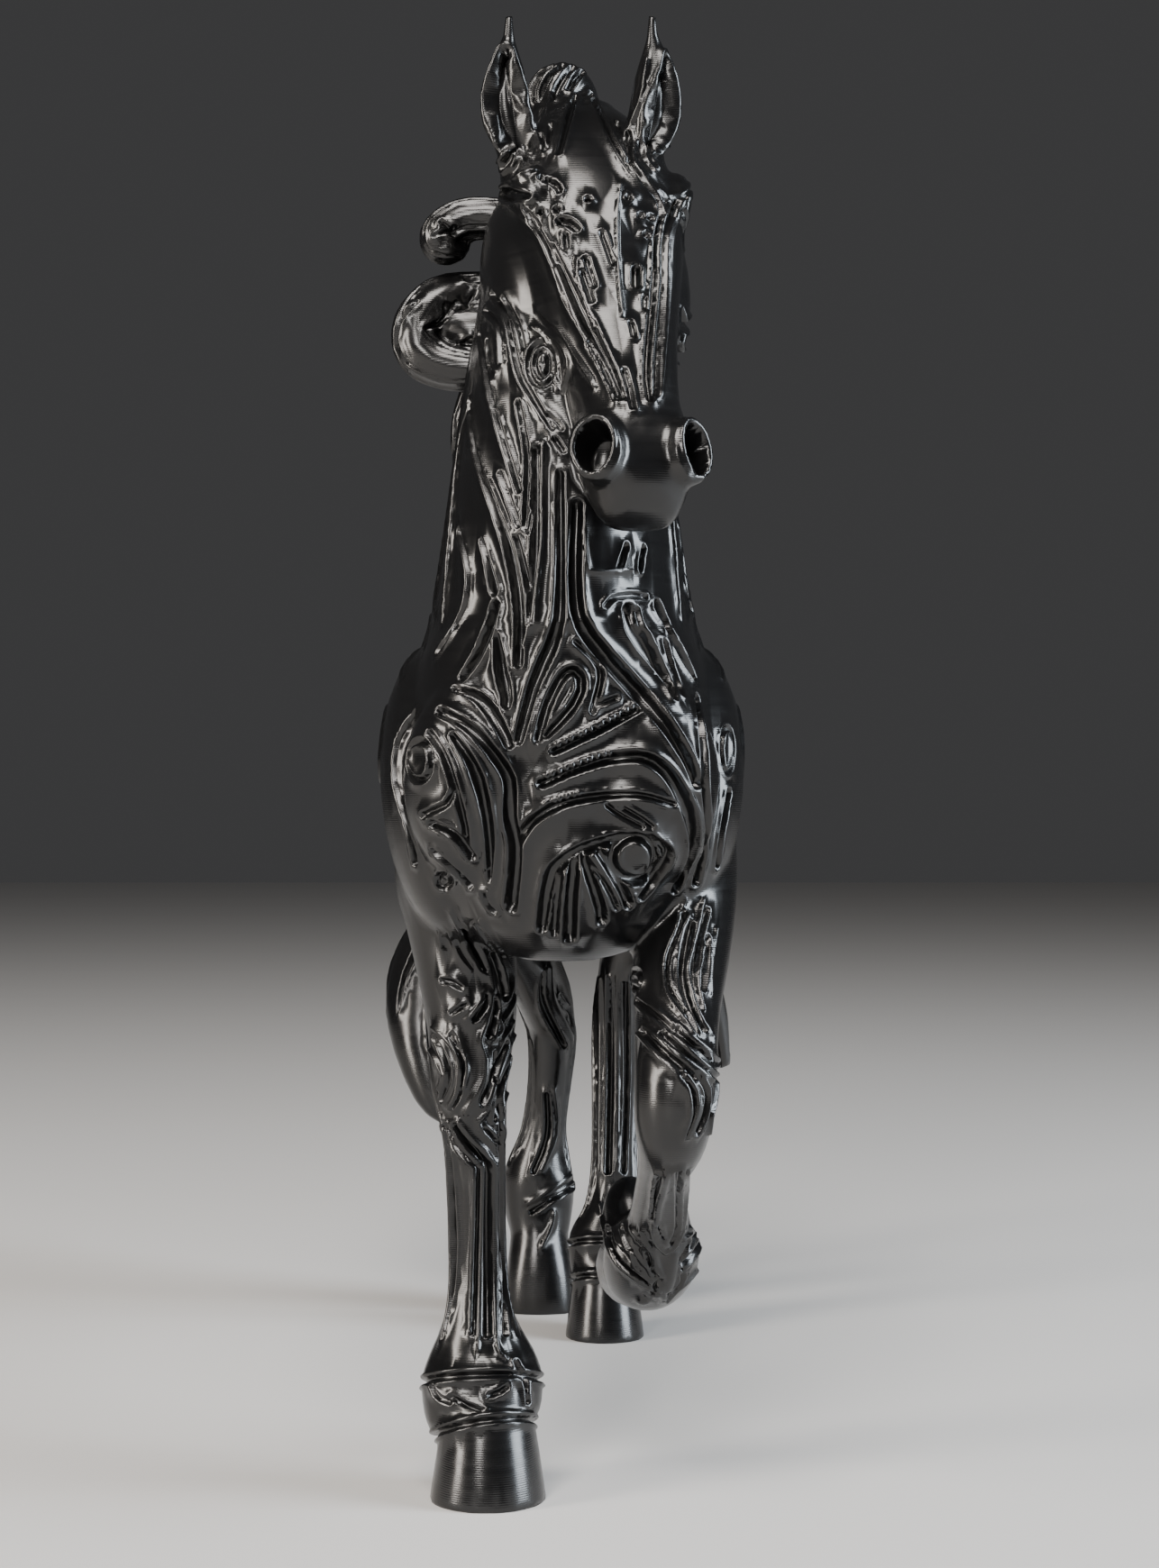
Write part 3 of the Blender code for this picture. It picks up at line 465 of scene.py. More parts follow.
# Strokes seen from the front: full widths along the stroke, then its (x, z) points on the plane y = 0.
NECK_GROOVES = [
    ((0.59, 0.59, 0.34), [(-9.5, 91.5), (-8.7, 88.2), (-8.7, 85.5), (-9.7, 82.8), (-11.6, 80.1)]),
    ((0.34, 0.51, 0.84), [(-7.4, 90.6), (-6.9, 88.9), (-6.2, 86)]),
    ((0.84, 0.84, 0.76), [(-6.1, 84.5), (-6.5, 83), (-7.1, 81.3), (-7.9, 79.6), (-9.1, 77.8)]),
    ((0.42, 0.51, 0.84, 0.59),
     [(-8.6, 103.7), (-8, 98.9), (-6.3, 94), (-4.7, 89.2), (-3.9, 83.5), (-4, 79)]),
    ((0.34, 0.42), [(-4.2, 90.9), (-3.2, 87.2), (-3, 86)]),
    ((0.76, 0.68, 0.34), [(-2.4, 99.1), (-2.4, 90.6), (-2.7, 86), (-2.9, 83)]),
    ((0.51, 0.59, 1.01, 0.68),
     [(-0.1, 96.9), (-0.1, 85.8), (-0.6, 81.8), (-2.5, 77.3), (-3.6, 73.4), (-4, 71.9)]),
    ((0.84, 1.1, 1.35, 0.93),
     [(1.5, 94), (1.3, 86.4), (2.1, 82.5), (4.9, 78.9), (9.3, 74), (11.6, 70.5), (12.7, 67.9)]),
    ((1.35, 1.69, 1.01, 0.34), [(6.3, 83.9), (6.8, 82.4), (8.4, 79.9), (10, 77.1), (10.6, 75.8)]),
    (THIN, [(7, 84.2), (7.4, 82.8), (7.9, 81.8)]),
    ((1.01, 1.01, 0.76), [(8.9, 84.5), (10.2, 81.8), (12.3, 77.9)]),
    ((0.84, 0.84, 0.68), [(11.2, 91.5), (11.5, 86.4), (12.6, 83), (13.4, 81.1)]),
    ((0.42, 0.42, 0.34), [(9.6, 81.1), (10.2, 79), (11.3, 76.1)]),
    ((0.34, 0.84, 1.01, 0.68), [(-6, 81.7), (-5.6, 78.4), (-5.1, 76.1), (-5.1, 75.2)]),
    ((0.59, 0.68, 0.68, 0.68, 0.59),
     [(-2.2, 72), (-1.2, 75.4), (0.2, 78), (1.4, 78.3), (1.9, 76.9), (0.8, 74.7), (-1.4, 72.4)]),
    ((0.42, 0.51, 0.42), [(1.4, 81.1), (3, 79.6), (3.7, 77.9), (2.9, 74.6)]),
    (SLIGHT, [(-7.6, 109.9), (-6.7, 104.7), (-5.6, 100.7), (-3.9, 95.3)]),
    ((0.42, 0.34), [(-2.8, 98.6), (-2.7, 94.8), (-3.1, 91.5)]),
    (THIN, [(-4, 103.5), (-3.2, 98.9), (-3.2, 95.7), (-3.4, 91.9)]),
    (THIN, [(-5.7, 96.8), (-4.4, 93.3), (-4, 92)]),
    (SLIGHT, [(6, 90.1), (5.7, 89.1), (5.4, 88.1)]),
    (SLIGHT, [(7.6, 89.9), (7.4, 88.9), (7.3, 87.9)]),
    (THIN, [(4.1, 84.5), (4.8, 85.2), (6.5, 85.5), (7.9, 85.3)]),
]
CHEST_GROOVES = [
    ((0.51, 0.68, 0.59), [(-0.7, 70.8), (3.1, 72.7), (7, 74.7)]),
    (THIN, [(3.2, 75.1), (4.1, 75.5), (5.2, 75.9)]),
    ((0.68, 0.84, 1.18, 0.84),
     [(-1.9, 67.8), (1.4, 69.2), (4.8, 70.2), (7.9, 70.2), (10.3, 68.4), (12.1, 64.7), (12.3, 61.5),
      (10.6, 58.1)]),
    ((0.76, 0.68, 0.51, 0.34), [(-4, 62.6), (-2.6, 64.4), (0.6, 66.1), (6.5, 66.8), (10.6, 65.9)]),
    (THIN, [(4.3, 65.8), (5.7, 64.8), (7.6, 63.8)]),
    (THIN, [(5.9, 65.5), (7.4, 64.6), (8.5, 63.8)]),
    ((0.76, 1.01, 1.18, 1.01, 0.84), [(-1.8, 54.3), (-1.2, 58.1), (-0.4, 59.9), (2.1, 61.6), (5.7, 62.8)]),
    ((0.68, 1.01, 0.68), [(8.4, 62.7), (9.9, 61.2), (8.9, 59.2), (7.5, 57.3)]),
    ((0.76, 0.76), [(-0.1, 60.2), (-0.5, 56.8), (-0.7, 53.9)]),
    ((0.93, 1.01), [(1.3, 60.8), (0.9, 56.8), (0.8, 53.4)]),
    (THIN, [(2.3, 61), (4.3, 58.1), (5.2, 56.2)]),
    ((0.76, 0.84), [(3.5, 61.7), (5.7, 58.1), (6.3, 56.6)]),
    ((0.76, 0.84), [(2.1, 61), (3.6, 56.4), (3.8, 55.1)]),
]
SHOULDER_GROOVES = [
    ((0.59, 0.59),
     [(-13.6, 74.4), (-15.2, 71.7), (-15.5, 68.2), (-14.7, 65.3), (-13.8, 61.9), (-13.6, 60.5)]),
    ((0.51, 0.51), [(-12.3, 72.5), (-11, 70.5), (-10.1, 68), (-9.1, 64.1), (-8.9, 62.3)]),
    ((0.42, 0.93, 0.68, 0.34), [(-10.1, 72.3), (-8.4, 69.7), (-7.3, 66.5), (-6.7, 62.7), (-6.7, 58.9)]),
    ((0.68, 0.84, 1.01, 1.01),
     [(-11.3, 74.6), (-8.6, 73.1), (-6.5, 70.8), (-4.9, 68.2), (-4.8, 64.8), (-4.3, 61.5), (-4.7, 56.4)]),
    ((0.42, 1.01, 0.68), [(-10, 76.7), (-7.8, 75.9), (-6.2, 74), (-4.9, 71.5)]),
    (SLIGHT, [(-10.1, 67), (-10.8, 65.9), (-12.9, 64.9)]),
    ((0.68, 0.68), [(-12.1, 64.1), (-10, 63.1), (-8.4, 61.1)]),
    ((0.59, 0.59), [(-11.9, 61.5), (-9.5, 59.4), (-8.4, 58.3)]),
    (SLIGHT, [(-7.2, 57.5), (-6.9, 56.6), (-6.2, 55.9)]),
    ((0.76, 0.76, 0.76), [(12.6, 75.8), (13.2, 71.6), (13.4, 67), (13.6, 63.6), (12.6, 58.7)]),
    ((0.68, 0.68), [(15.6, 67), (15, 63.6), (14.5, 60.2)]),
]
NECK_RIDGES = [
    (THIN, [(-1.7, 99.9), (-1.8, 93.9), (-1.8, 90.7), (-2.5, 84.6), (-3.5, 80.6)]),
    (THIN, [(2.2, 91.3), (2.4, 88.3), (3.1, 87.7), (6.5, 87.9)]),
]
FACE_GROOVES = [
    ((0.42, 0.42, 0.34), [(-6.4, 113.8), (-5.1, 111.5), (-4, 106.6), (-2.7, 104.1), (-0.8, 101.1)]),
    (THIN, [(-5.4, 113.4), (-4.1, 110.9), (-3.5, 108.6)]),
    (THIN, [(-7.1, 112.2), (-5.9, 110.8), (-5.6, 107.3)]),
    (THIN, [(-6.9, 109.4), (-6.7, 106.8), (-6.3, 106.1)]),
    (THIN, [(-1.2, 102.3), (-0.6, 101.8), (0, 101.1)]),
    (THIN, [(-0.6, 100.1), (-0.2, 99.6), (0.2, 99)]),
    (THIN, [(-3.5, 121.8), (-1.5, 118.6), (-0.5, 116.6)]),
    (THIN, [(2.5, 109.1), (4.1, 106.2), (5.2, 103.7)]),
    ((0.34, 0.76, 0.93, 0.51, 0.34),
     [(-0.8, 118.1), (0.8, 114.4), (2.7, 110.5), (4.8, 106.5), (5.8, 103.9)]),
    (THIN, [(2, 115.7), (2.5, 114.3), (2.9, 113)]),
    (THIN, [(2.3, 117), (2.7, 115.7), (3.1, 114.4)]),
    (THIN, [(3.8, 119.4), (4.3, 118), (4.8, 116.5)]),
    ((0.34, 0.42, 0.42),
     [(6.3, 126.2), (7.7, 124.3), (9, 122.5), (9.3, 120.8), (8.9, 119.1), (8.7, 115.1), (8, 107.2),
      (8.3, 103.7)]),
    ((0.51, 0.42, 0.34, 0.34),
     [(10.8, 122.3), (9.9, 120.1), (9.6, 118.6), (9.5, 113.8), (9, 108), (8.8, 104.2)]),
    (THIN, [(5.9, 106.5), (6.3, 105), (6.7, 103)]),
    (THIN, [(6.5, 111), (6.7, 110.4), (6.8, 109.7)]),
    ((0.34, 1.1, 1.1, 0.34), [(-6.5, 123), (-5.5, 123), (-4.2, 123), (-3, 122.9)]),
    (SLIGHT, [(-1.3, 124.3), (-0.5, 123.9), (-0.2, 123.3)]),
    (THIN, [(-3, 121.3), (-2.5, 120.6), (-2, 119.9)]),
    ((0.59, 0.59), [(-0.1, 120.5), (0.8, 120.3), (1.4, 119.8)]),
    (THIN, [(0.4, 119.2), (0.5, 118.6), (0.5, 118.1)]),
    ((0.34, 0.42, 0.42), [(2.7, 132.4), (4.6, 128.3), (6.5, 125.2), (8.4, 123.3)]),
    ((0.34, 0.51, 0.34), [(1.3, 132.2), (0.5, 129.5), (-0.2, 126.8)]),
    ((0.34, 0.51, 0.42), [(-0.9, 134.9), (-2.1, 134.2), (-2.8, 133), (-2.9, 131.8)]),
    ((0.34, 0.51, 0.42), [(0.1, 135.1), (-0.9, 134.3), (-1.6, 133), (-1.9, 131.7)]),
    ((0.34, 0.51, 0.42), [(1, 134.9), (0.3, 134.1), (-0.4, 132.9), (-0.8, 131.7)]),
    ((0.34, 0.51, 0.34), [(1.9, 134.5), (1.3, 133.9), (0.7, 132.8)]),
    ((0.34, 0.42, 0.34), [(2.4, 134.4), (3.4, 133.7), (4.4, 132.6)]),
    (THIN, [(5.2, 129.7), (6.2, 127.2), (6.5, 126.2)]),
    (THIN, [(-2, 128.5), (-1.8, 127.8), (-1.5, 127.1)]),
    (THIN, [(-1, 129.5), (-1.1, 128.4), (-1.3, 127.4)]),
    ((0.51, 1.01, 0.68), [(-3.5, 128.1), (-3.1, 127.3), (-3.1, 126.2)]),
    ((0.34, 0.76, 0.84, 0.42), [(-5.6, 125.5), (-5.3, 126.1), (-4.9, 126.7), (-4.5, 127.3)]),
    (SLIGHT, [(6.3, 128.7), (6.3, 127.9), (6.3, 127.2)]),
    (THIN, [(7.4, 127.9), (7.7, 126.4), (8.5, 125.3)]),
    (THIN, [(11.7, 122.4), (11.4, 121.7), (11.4, 121)]),
    ((0.68, 0.68), [(7, 116), (7, 115.3), (7, 114.5)]),
    (THIN, [(7.8, 113.4), (7.8, 112.8), (7.8, 112.3)]),
    ((0.42, 0.68, 0.42), [(11.2, 112.1), (11.4, 110.9), (11.2, 109.5)]),
    ((0.34, 0.68, 0.34), [(11, 109), (11.2, 107.2), (10.9, 105.5)]),
]
FACE_RIDGES = [
    (THIN, [(-2.8, 110.6), (-1.3, 109.4), (-0.5, 107.7), (-0.6, 106), (-0.3, 104.6)]),
    (THIN, [(-2.3, 110.6), (-0.2, 109.3), (0.8, 107.2), (0.2, 104.6)]),
    (THIN, [(-2.3, 112.4), (-0.2, 110.5), (1.5, 107.7), (3.1, 105.1)]),
    (THIN,
     [(-4.6, 121.9), (-2.3, 119.3), (-0.6, 115.7), (0.4, 112.8), (2.7, 108.6), (4.1, 105.4), (5.2, 103.5)]),
    (THIN, [(1.5, 117), (1.7, 114.8), (3.1, 110.7)]),
    ((0.51, 0.76, 0.51, 0.34),
     [(12, 122.7), (11, 121.7), (10.7, 120.3), (10.3, 118.6), (10.1, 114.3), (9.6, 108), (9.3, 104.2)]),
    (SLIGHT, [(10.1, 122.2), (9.6, 120.8), (9.3, 119.5), (9.1, 117.8), (9.1, 115.9)]),
    (THIN, [(-6, 125.1), (-5.9, 125.8), (-5.7, 126.4), (-5.2, 127.1), (-4.6, 127.5)]),
    (THIN, [(-4, 127), (-4.3, 126.2), (-4.6, 125.5)]),
    (THIN, [(-5.9, 123.6), (-5.1, 124.1), (-4.2, 124.6), (-3.3, 125.1), (-2.4, 125.2)]),
    (THIN, [(-1.8, 123.8), (-1, 123.6), (-0.5, 123)]),
    (SLIGHT, [(-7, 130.5), (-6.8, 129.5), (-6.1, 127.7)]),
    (SLIGHT, [(11.2, 129.5), (10.4, 127.9), (9.1, 127.3)]),
    (SLIGHT, [(8.6, 126.9), (8.3, 126.5), (9, 125.4)]),
    (SLIGHT, [(9, 123.4), (9.5, 123), (10, 122.5)]),
    (THIN, [(5.5, 124), (5.2, 121), (5.3, 115.9), (5.7, 111.7)]),
]
RIGHT_FORE_GROOVES = [
    ((0.42, 0.68, 0.51), [(-9.1, 54.2), (-8.5, 52.7), (-7.8, 51.4), (-7.1, 50.3)]),
    ((0.42, 0.59, 0.51), [(-7.8, 54.6), (-7, 53.3), (-6.2, 52.3)]),
    ((0.51, 0.68, 0.68), [(-6.5, 51.8), (-5.8, 50.1), (-5.3, 48)]),
    ((0.34, 0.59, 0.51), [(-7, 48.1), (-7.3, 47.1), (-8.1, 45.8)]),
    ((0.51, 0.68), [(-6.2, 47.4), (-6.2, 46.3), (-6.7, 44.3)]),
    ((0.34, 0.42, 0.34), [(-11.1, 49.4), (-10.2, 49.2), (-9.4, 48.7)]),
    (THIN, [(-10.2, 46.4), (-9.5, 46.8), (-8.9, 47.1)]),
    ((0.34, 0.34, 0.34), [(-10.2, 44.3), (-9.5, 42.8), (-9.3, 40.8), (-9.6, 38.8), (-10.2, 37.6)]),
    ((0.34, 0.42, 0.34), [(-11.9, 44), (-10.9, 42.3), (-10.5, 40.4), (-11.2, 38.2)]),
    ((0.42, 0.68, 0.42), [(-5.2, 43.5), (-6.2, 41.2), (-6.9, 39.3), (-7.4, 37.9)]),
    ((0.51, 0.68, 0.42), [(-4.9, 41.8), (-5.7, 39.4), (-6.2, 36.4)]),
    (THIN, [(-10.7, 35.9), (-9.9, 34.2), (-8.2, 32.2), (-7.8, 30.5), (-8.3, 16.3)]),
    ((0.68, 0.68), [(-9.8, 35.7), (-8.7, 34.2), (-7.5, 33), (-6.8, 31.5), (-6.8, 29), (-6.9, 16.3)]),
    ((0.34, 0.42), [(-7.2, 35.4), (-6, 33.9), (-5.6, 31.5), (-5.5, 23), (-5.3, 16.3)]),
    (THIN, [(-10.3, 10.4), (-8.8, 9.6), (-7.3, 9.1)]),
    (THIN, [(-6.7, 10.5), (-5.9, 10.8), (-5.1, 11.3)]),
    (THIN, [(-12.4, 12.1), (-11.6, 10.5), (-10.4, 9.9)]),
    (THIN, [(-4.3, 13.6), (-3.4, 11.8), (-3.2, 9.9)]),
]
RIGHT_FORE_RIDGES = [
    (THIN, [(-10.4, 55.9), (-9.3, 53.6), (-7.8, 50.4), (-7.1, 49.9)]),
    (THIN, [(-10.4, 53.8), (-9.6, 51.8), (-8.5, 50.3)]),
    ((0.42, 0.84, 0.59), [(-8.3, 55), (-8.3, 53.6), (-7.5, 52.2), (-6.9, 50.7), (-6.4, 48.4)]),
    (THIN, [(-7.6, 55.1), (-6, 52.9), (-4.7, 49.9), (-4.9, 47.9), (-5.4, 47.2)]),
    (SLIGHT, [(-6.7, 48.4), (-7.6, 47.3), (-8.9, 45.7)]),
    ((0.51, 0.51), [(-6.6, 48.3), (-6.7, 46.9), (-7.1, 45.3), (-7.6, 43.8), (-7.2, 42.2)]),
    ((0.76, 0.76), [(-7.1, 42), (-7.2, 40.3), (-7.8, 38.9), (-8.8, 37.1)]),
    (THIN, [(-5.9, 45.9), (-5.6, 44.9), (-6, 44.1), (-6.6, 44)]),
    (THIN, [(-4.5, 48), (-4.6, 47.2), (-5.5, 45.5)]),
    (THIN, [(-4.6, 45.6), (-5, 44.7), (-5.6, 43.8)]),
    (THIN, [(-11.3, 53.8), (-11.2, 52.5), (-11, 52.1)]),
    (SLIGHT, [(-12, 45), (-10.6, 43.8), (-9.8, 42.4), (-9.5, 40.7), (-9.8, 38.8), (-10.5, 37.4)]),
    (THIN, [(-10.1, 44.2), (-9.2, 42.7), (-8.8, 41.3), (-9.1, 39.2)]),
    (THIN, [(-12.2, 42.8), (-11.4, 41.3), (-11.1, 40.4), (-11.4, 39.2)]),
    (THIN,
     [(-4.5, 44.3), (-5.1, 42.7), (-6.2, 39.8), (-7, 37.2), (-7.8, 35.9), (-6.7, 34.4), (-5.9, 33.8)]),
    (THIN, [(-4.8, 40.1), (-5.5, 37.7), (-5.6, 36.5), (-5.4, 35.3), (-5.5, 34.2)]),
    (THIN, [(-11, 36.6), (-11.1, 35.6), (-10.2, 33.8), (-8.5, 32), (-8.2, 30.6), (-8.6, 16.3)]),
    (THIN, [(-10.1, 34.5), (-8.5, 32.8), (-7.8, 32), (-7.4, 30.8), (-7.8, 14.8)]),
    (SLIGHT,
     [(-9.6, 36.3), (-9.1, 35.3), (-7.4, 33.5), (-6.3, 32.2), (-6.1, 30.7), (-6.1, 16.3), (-5.3, 14)]),
]
LEFT_FORE_GROOVES = [
    (THIN, [(11.3, 55.8), (10.7, 53), (9.9, 51.1), (10.1, 49.1), (11.6, 46.5)]),
    ((0.42, 0.68, 0.51), [(12.1, 54.7), (11.5, 51.7), (11.5, 49.1), (12.2, 47), (13.3, 44.8)]),
    ((0.34, 0.42, 0.34), [(13.6, 56), (12.7, 52.6), (12.4, 49.6), (13.1, 46.7)]),
    ((0.34, 0.51, 0.34), [(13.7, 53.4), (13.5, 51.8), (13.3, 48.5)]),
    ((0.34, 0.42), [(7.1, 47.5), (9, 46), (10.7, 44.6), (12.3, 43.3)]),
    ((0.42, 0.51, 0.34), [(9.5, 44.3), (11.3, 42.7), (13.4, 41)]),
    ((0.42, 0.51, 0.34), [(10.9, 44.8), (12.3, 43.6), (13.9, 42)]),
    ((0.42, 0.59, 0.51), [(7.6, 44.7), (9.3, 43.1), (11.2, 41.4), (12.4, 40.3)]),
    (THIN, [(11.2, 40.4), (12.3, 38.8), (12.4, 37), (11.7, 34.9)]),
    ((0.34, 0.59, 0.42), [(12.9, 40.4), (13.6, 38.9), (13.4, 37), (12.7, 35.2)]),
    ((0.42, 0.51, 0.42), [(11, 31.5), (10.9, 28.5), (10.8, 26.2), (10.3, 24.7)]),
    (THIN, [(9.2, 31.1), (8.8, 29), (8.7, 27.3)]),
    (THIN, [(9, 26.5), (9.2, 25.8), (9.5, 25.2)]),
    (THIN, [(7.7, 25.7), (8.1, 25.1), (8.5, 24.5)]),
    ((0.34, 0.42, 0.34), [(11.9, 24.9), (11.3, 23.7), (10.9, 23)]),
    (THIN, [(12.8, 24.7), (12.1, 23.7), (11.3, 22.9)]),
    ((0.42, 0.68, 0.68, 0.42), [(4.5, 26.2), (4.8, 24.2), (6, 22.6), (8, 21)]),
    ((0.42, 0.59, 0.42), [(5.8, 26.2), (6.3, 24.7), (6.6, 24.2)]),
    ((0.34, 0.42, 0.34), [(8, 23.9), (8.4, 22.9), (8.9, 21.8)]),
    (THIN, [(11.3, 22.4), (11.3, 21.4), (10.7, 20.5)]),
    (THIN, [(9.5, 21.5), (8.9, 21), (8.5, 20)]),
]
LEFT_FORE_RIDGES = [
    (THIN, [(11.6, 57), (10.6, 54), (9.6, 51.1), (9.9, 48.2), (11.7, 45.4), (12.5, 44.2)]),
    (THIN, [(12, 55.6), (11.3, 53.9), (10.3, 50.8), (10.6, 48.5), (12.2, 45.8), (12.9, 44.4)]),
    (THIN, [(13.3, 57), (12.8, 54.6), (12, 51.3), (11.9, 49.7), (12.8, 46.5), (14, 44.2)]),
    (THIN, [(13.3, 52.6), (13.1, 51.2), (12.8, 50)]),
    (THIN, [(14.5, 54.3), (14, 50.8), (13.9, 48)]),
    ((0.42, 0.51), [(8.6, 44.4), (10.7, 42.6), (12.5, 41.3), (14.1, 40.1)]),
    ((0.34, 0.42), [(10.1, 44.4), (11.7, 43.1), (13.1, 41.8), (14.5, 40.6)]),
    ((0.34, 0.51), [(11.3, 44.8), (12.8, 43.6), (14.1, 42.6)]),
    (THIN, [(13.7, 45), (14.2, 44), (14, 42.7), (14.6, 42), (14.5, 41.3), (13.8, 41.4)]),
    ((0.34, 0.42), [(7.2, 44.4), (9.3, 42), (11.5, 39.8), (12.1, 37.4), (11.7, 35.7), (11.4, 34.7)]),
    ((0.34, 0.42), [(11.3, 40.9), (12.3, 39.7), (12.8, 38.6), (12.7, 37), (11.9, 34.9)]),
    (THIN, [(14.5, 39.8), (14.4, 38.4), (14, 36.6), (13.8, 35.1)]),
    ((0.68, 0.68), [(10, 31.5), (9.6, 29.8), (9.1, 28.3), (8.9, 26.8), (9.1, 25.7), (9.9, 24.6)]),
    (THIN, [(8.7, 30.6), (8.5, 29.4), (8.5, 28.3)]),
    (SLIGHT, [(8.7, 26.6), (8.6, 25.7), (9.2, 24.5), (9.8, 23.9)]),
    (SLIGHT, [(11.8, 31.5), (11.6, 29), (11.4, 26.6), (11.2, 25.7), (10.6, 24.5), (10, 24.1)]),
    (SLIGHT, [(12, 26.2), (12.2, 25.8), (11.4, 25.2)]),
    (THIN, [(12.4, 25.7), (12.2, 24.6), (11.6, 23.7)]),
    ((0.51, 0.51), [(13.4, 25.5), (13, 24.6), (12.4, 23.4), (11.2, 22.2)]),
    (THIN, [(13.4, 25.2), (13.1, 23.2), (12.2, 21.7), (10.7, 20.3), (9.9, 19.4)]),
    ((1.01, 1.18, 1.01), [(10.6, 23.7), (10.3, 22.2), (9.9, 20.5)]),
    ((0.68, 0.68), [(9.3, 20.8), (9.5, 20.2), (9.6, 19.6)]),
    ((0.59, 0.59), [(6.6, 26.2), (7.4, 25.2), (8.6, 24.1), (8.9, 22.7), (9.5, 21.8)]),
    (THIN,
     [(3.6, 28.5), (4.1, 26), (4.4, 24.5), (5.1, 23.1), (6.1, 22.1), (7.3, 21.3), (8.5, 20.5)]),
    (THIN, [(5.1, 25.7), (5.3, 25), (5.7, 24.5)]),
    (THIN, [(6.6, 23.9), (6.9, 22.7), (7.7, 21.9)]),
    (THIN, [(7.2, 23.7), (7.6, 23.1), (8, 22.7)]),
]
HIND_GROOVES = [
    ((0.68, 0.68), [(4.5, 49.6), (4.6, 40.8), (4.4, 31.5)]),
    ((0.51, 0.51), [(6, 49.2), (6.1, 40.8), (5.8, 31.5)]),
    ((0.51, 0.68, 0.51), [(-1.8, 50.1), (-1.7, 47.1), (0.2, 43.3)]),
    ((0.51, 0.68, 0.51), [(-1.4, 38.7), (-1.3, 34.9), (-2.6, 31.5)]),
    ((0.51, 0.51), [(-2.8, 27.7), (1.1, 30.1)]),
]
HIND_RIDGES = [
    ((0.68, 0.68), [(3.7, 49.6), (3.7, 40.8), (3.6, 31.5)]),
    ((0.51, 0.51), [(5.3, 49.6), (5.3, 40.8), (5.2, 31.5)]),
    ((0.68, 1.01, 0.68), [(-1.1, 50.5), (-0.8, 47.5), (0.3, 45.4), (1.4, 43.3)]),
    ((0.51, 0.84, 0.51), [(-0.7, 39.1), (-0.4, 36.6), (-0.6, 34.4), (-1.9, 31.5)]),
    ((0.68, 0.84, 0.51), [(-3.2, 28.5), (-1.3, 29.6), (0.8, 31.1)]),
    ((0.51, 0.76, 0.42), [(-0.7, 27.7), (-1, 26.2), (-1.9, 24.3)]),
]
EARS = [
    # the hollows of the ears, as wide strokes
    ((1.01, 2.36, 3.55, 3.72, 3.04),
     [(-5.3, 136.4), (-5.4, 134.1), (-5.4, 132), (-5.1, 129.9), (-4.4, 128.4)]),
    ((0.68, 1.52, 2.7, 3.21, 2.36), [(9.9, 136.2), (10.1, 134.5), (10, 132.4), (9.7, 130.3), (9.1, 128.4)]),
]
EAR_LINES = [
    # the rolled inner edges of the ears
    (THIN, [(-4.6, 135.7), (-3.9, 133.3), (-2.9, 130.3), (-1.9, 127.4)]),
    (THIN, [(8.1, 135.7), (7.9, 134.4), (7.5, 132), (6.5, 129.3)]),
    (THIN, [(8.8, 133.9), (8.5, 132), (7.9, 129.6)]),
]
BEADS = [
    [(-0.9, 71.3), (1.4, 72.4), (3.1, 73.2), (4.8, 74.1), (6.8, 75.2)],
    [(-2.1, 68.4), (-0.2, 69.1), (1.4, 69.8), (3.1, 70.4), (4.5, 70.8)],
    [(-2.1, 65.9), (-0.2, 66.5), (1.6, 67)],
]
RINGS = [
    # full width, middle, half sizes
    (0.84, (6.8, 60.8), (2.03, 2.03)),
    (0.42, (-13.2, 70), (1.1, 1.86)),
    (0.34, (-10.9, 58.8), (0.68, 0.68)),
    (0.34, (15.5, 71), (0.59, 2.11)),
    (0.34, (7.1, 49.5), (0.51, 0.84)),
    (0.34, (-1.8, 107.1), (1.27, 2.03)),
    (0.34, (-1.8, 107.1), (0.68, 1.18)),
]
LOBES = [
    # size, place
    (0.42, (9.2, 22.2)),
    (0.68, (7.6, 19.4)),
    (0.59, (8.9, 20.0)),
    (0.42, (-4.3, 12.2)),
    (0.42, (-3.2, 10.7)),
    (0.34, (-3.9, 126.6)),
]
PITS = [
    (6.3, 122.7), (7.4, 121), (8.3, 120.8), (7.9, 119.2), (-1.9, 124.5), (-1.9, 121.4), (-0.4, 121.6),
    (2.5, 122.5),
]
KNOBS = [
    # radius, height, place: the ball of the eye, and the boss low on the breast
    (0.6, 0.35, (-1.7, 107.8)),
    (1.6, 0.45, (6.9, 60.8)),
]


def spiral(middle, radii, turns, start=0, points=14):
    """Points of a spiral in a plane, from the first radius to the second."""
    made = []
    for i in range(points + 1):
        t = i / points
        radius = radii[0] + (radii[1] - radii[0]) * t
        angle = math.radians(start) + 2 * math.pi * turns * t
        made.append((middle[0] + radius * math.cos(angle), middle[1] + radius * math.sin(angle)))
    return made


def oval(middle, half_sizes, points=12):
    """Points round an oval, closed."""
    turns = [2 * math.pi * i / points for i in range(points + 1)]
    wide, high = half_sizes
    return [(middle[0] + wide * math.cos(a), middle[1] + high * math.sin(a)) for a in turns]


def cast(skin, start, way, clear=ANYWHERE):
    """The first place on the skin from start along way that faces start and whose y is above clear."""
    for _ in range(CAST_TRIES):
        place, normal = skin.ray_cast(start, way)[:2]
        if place is None or (place.y > clear and normal.dot(way) < 0):
            return place
        start = place + way * CAST_STEP
    return None


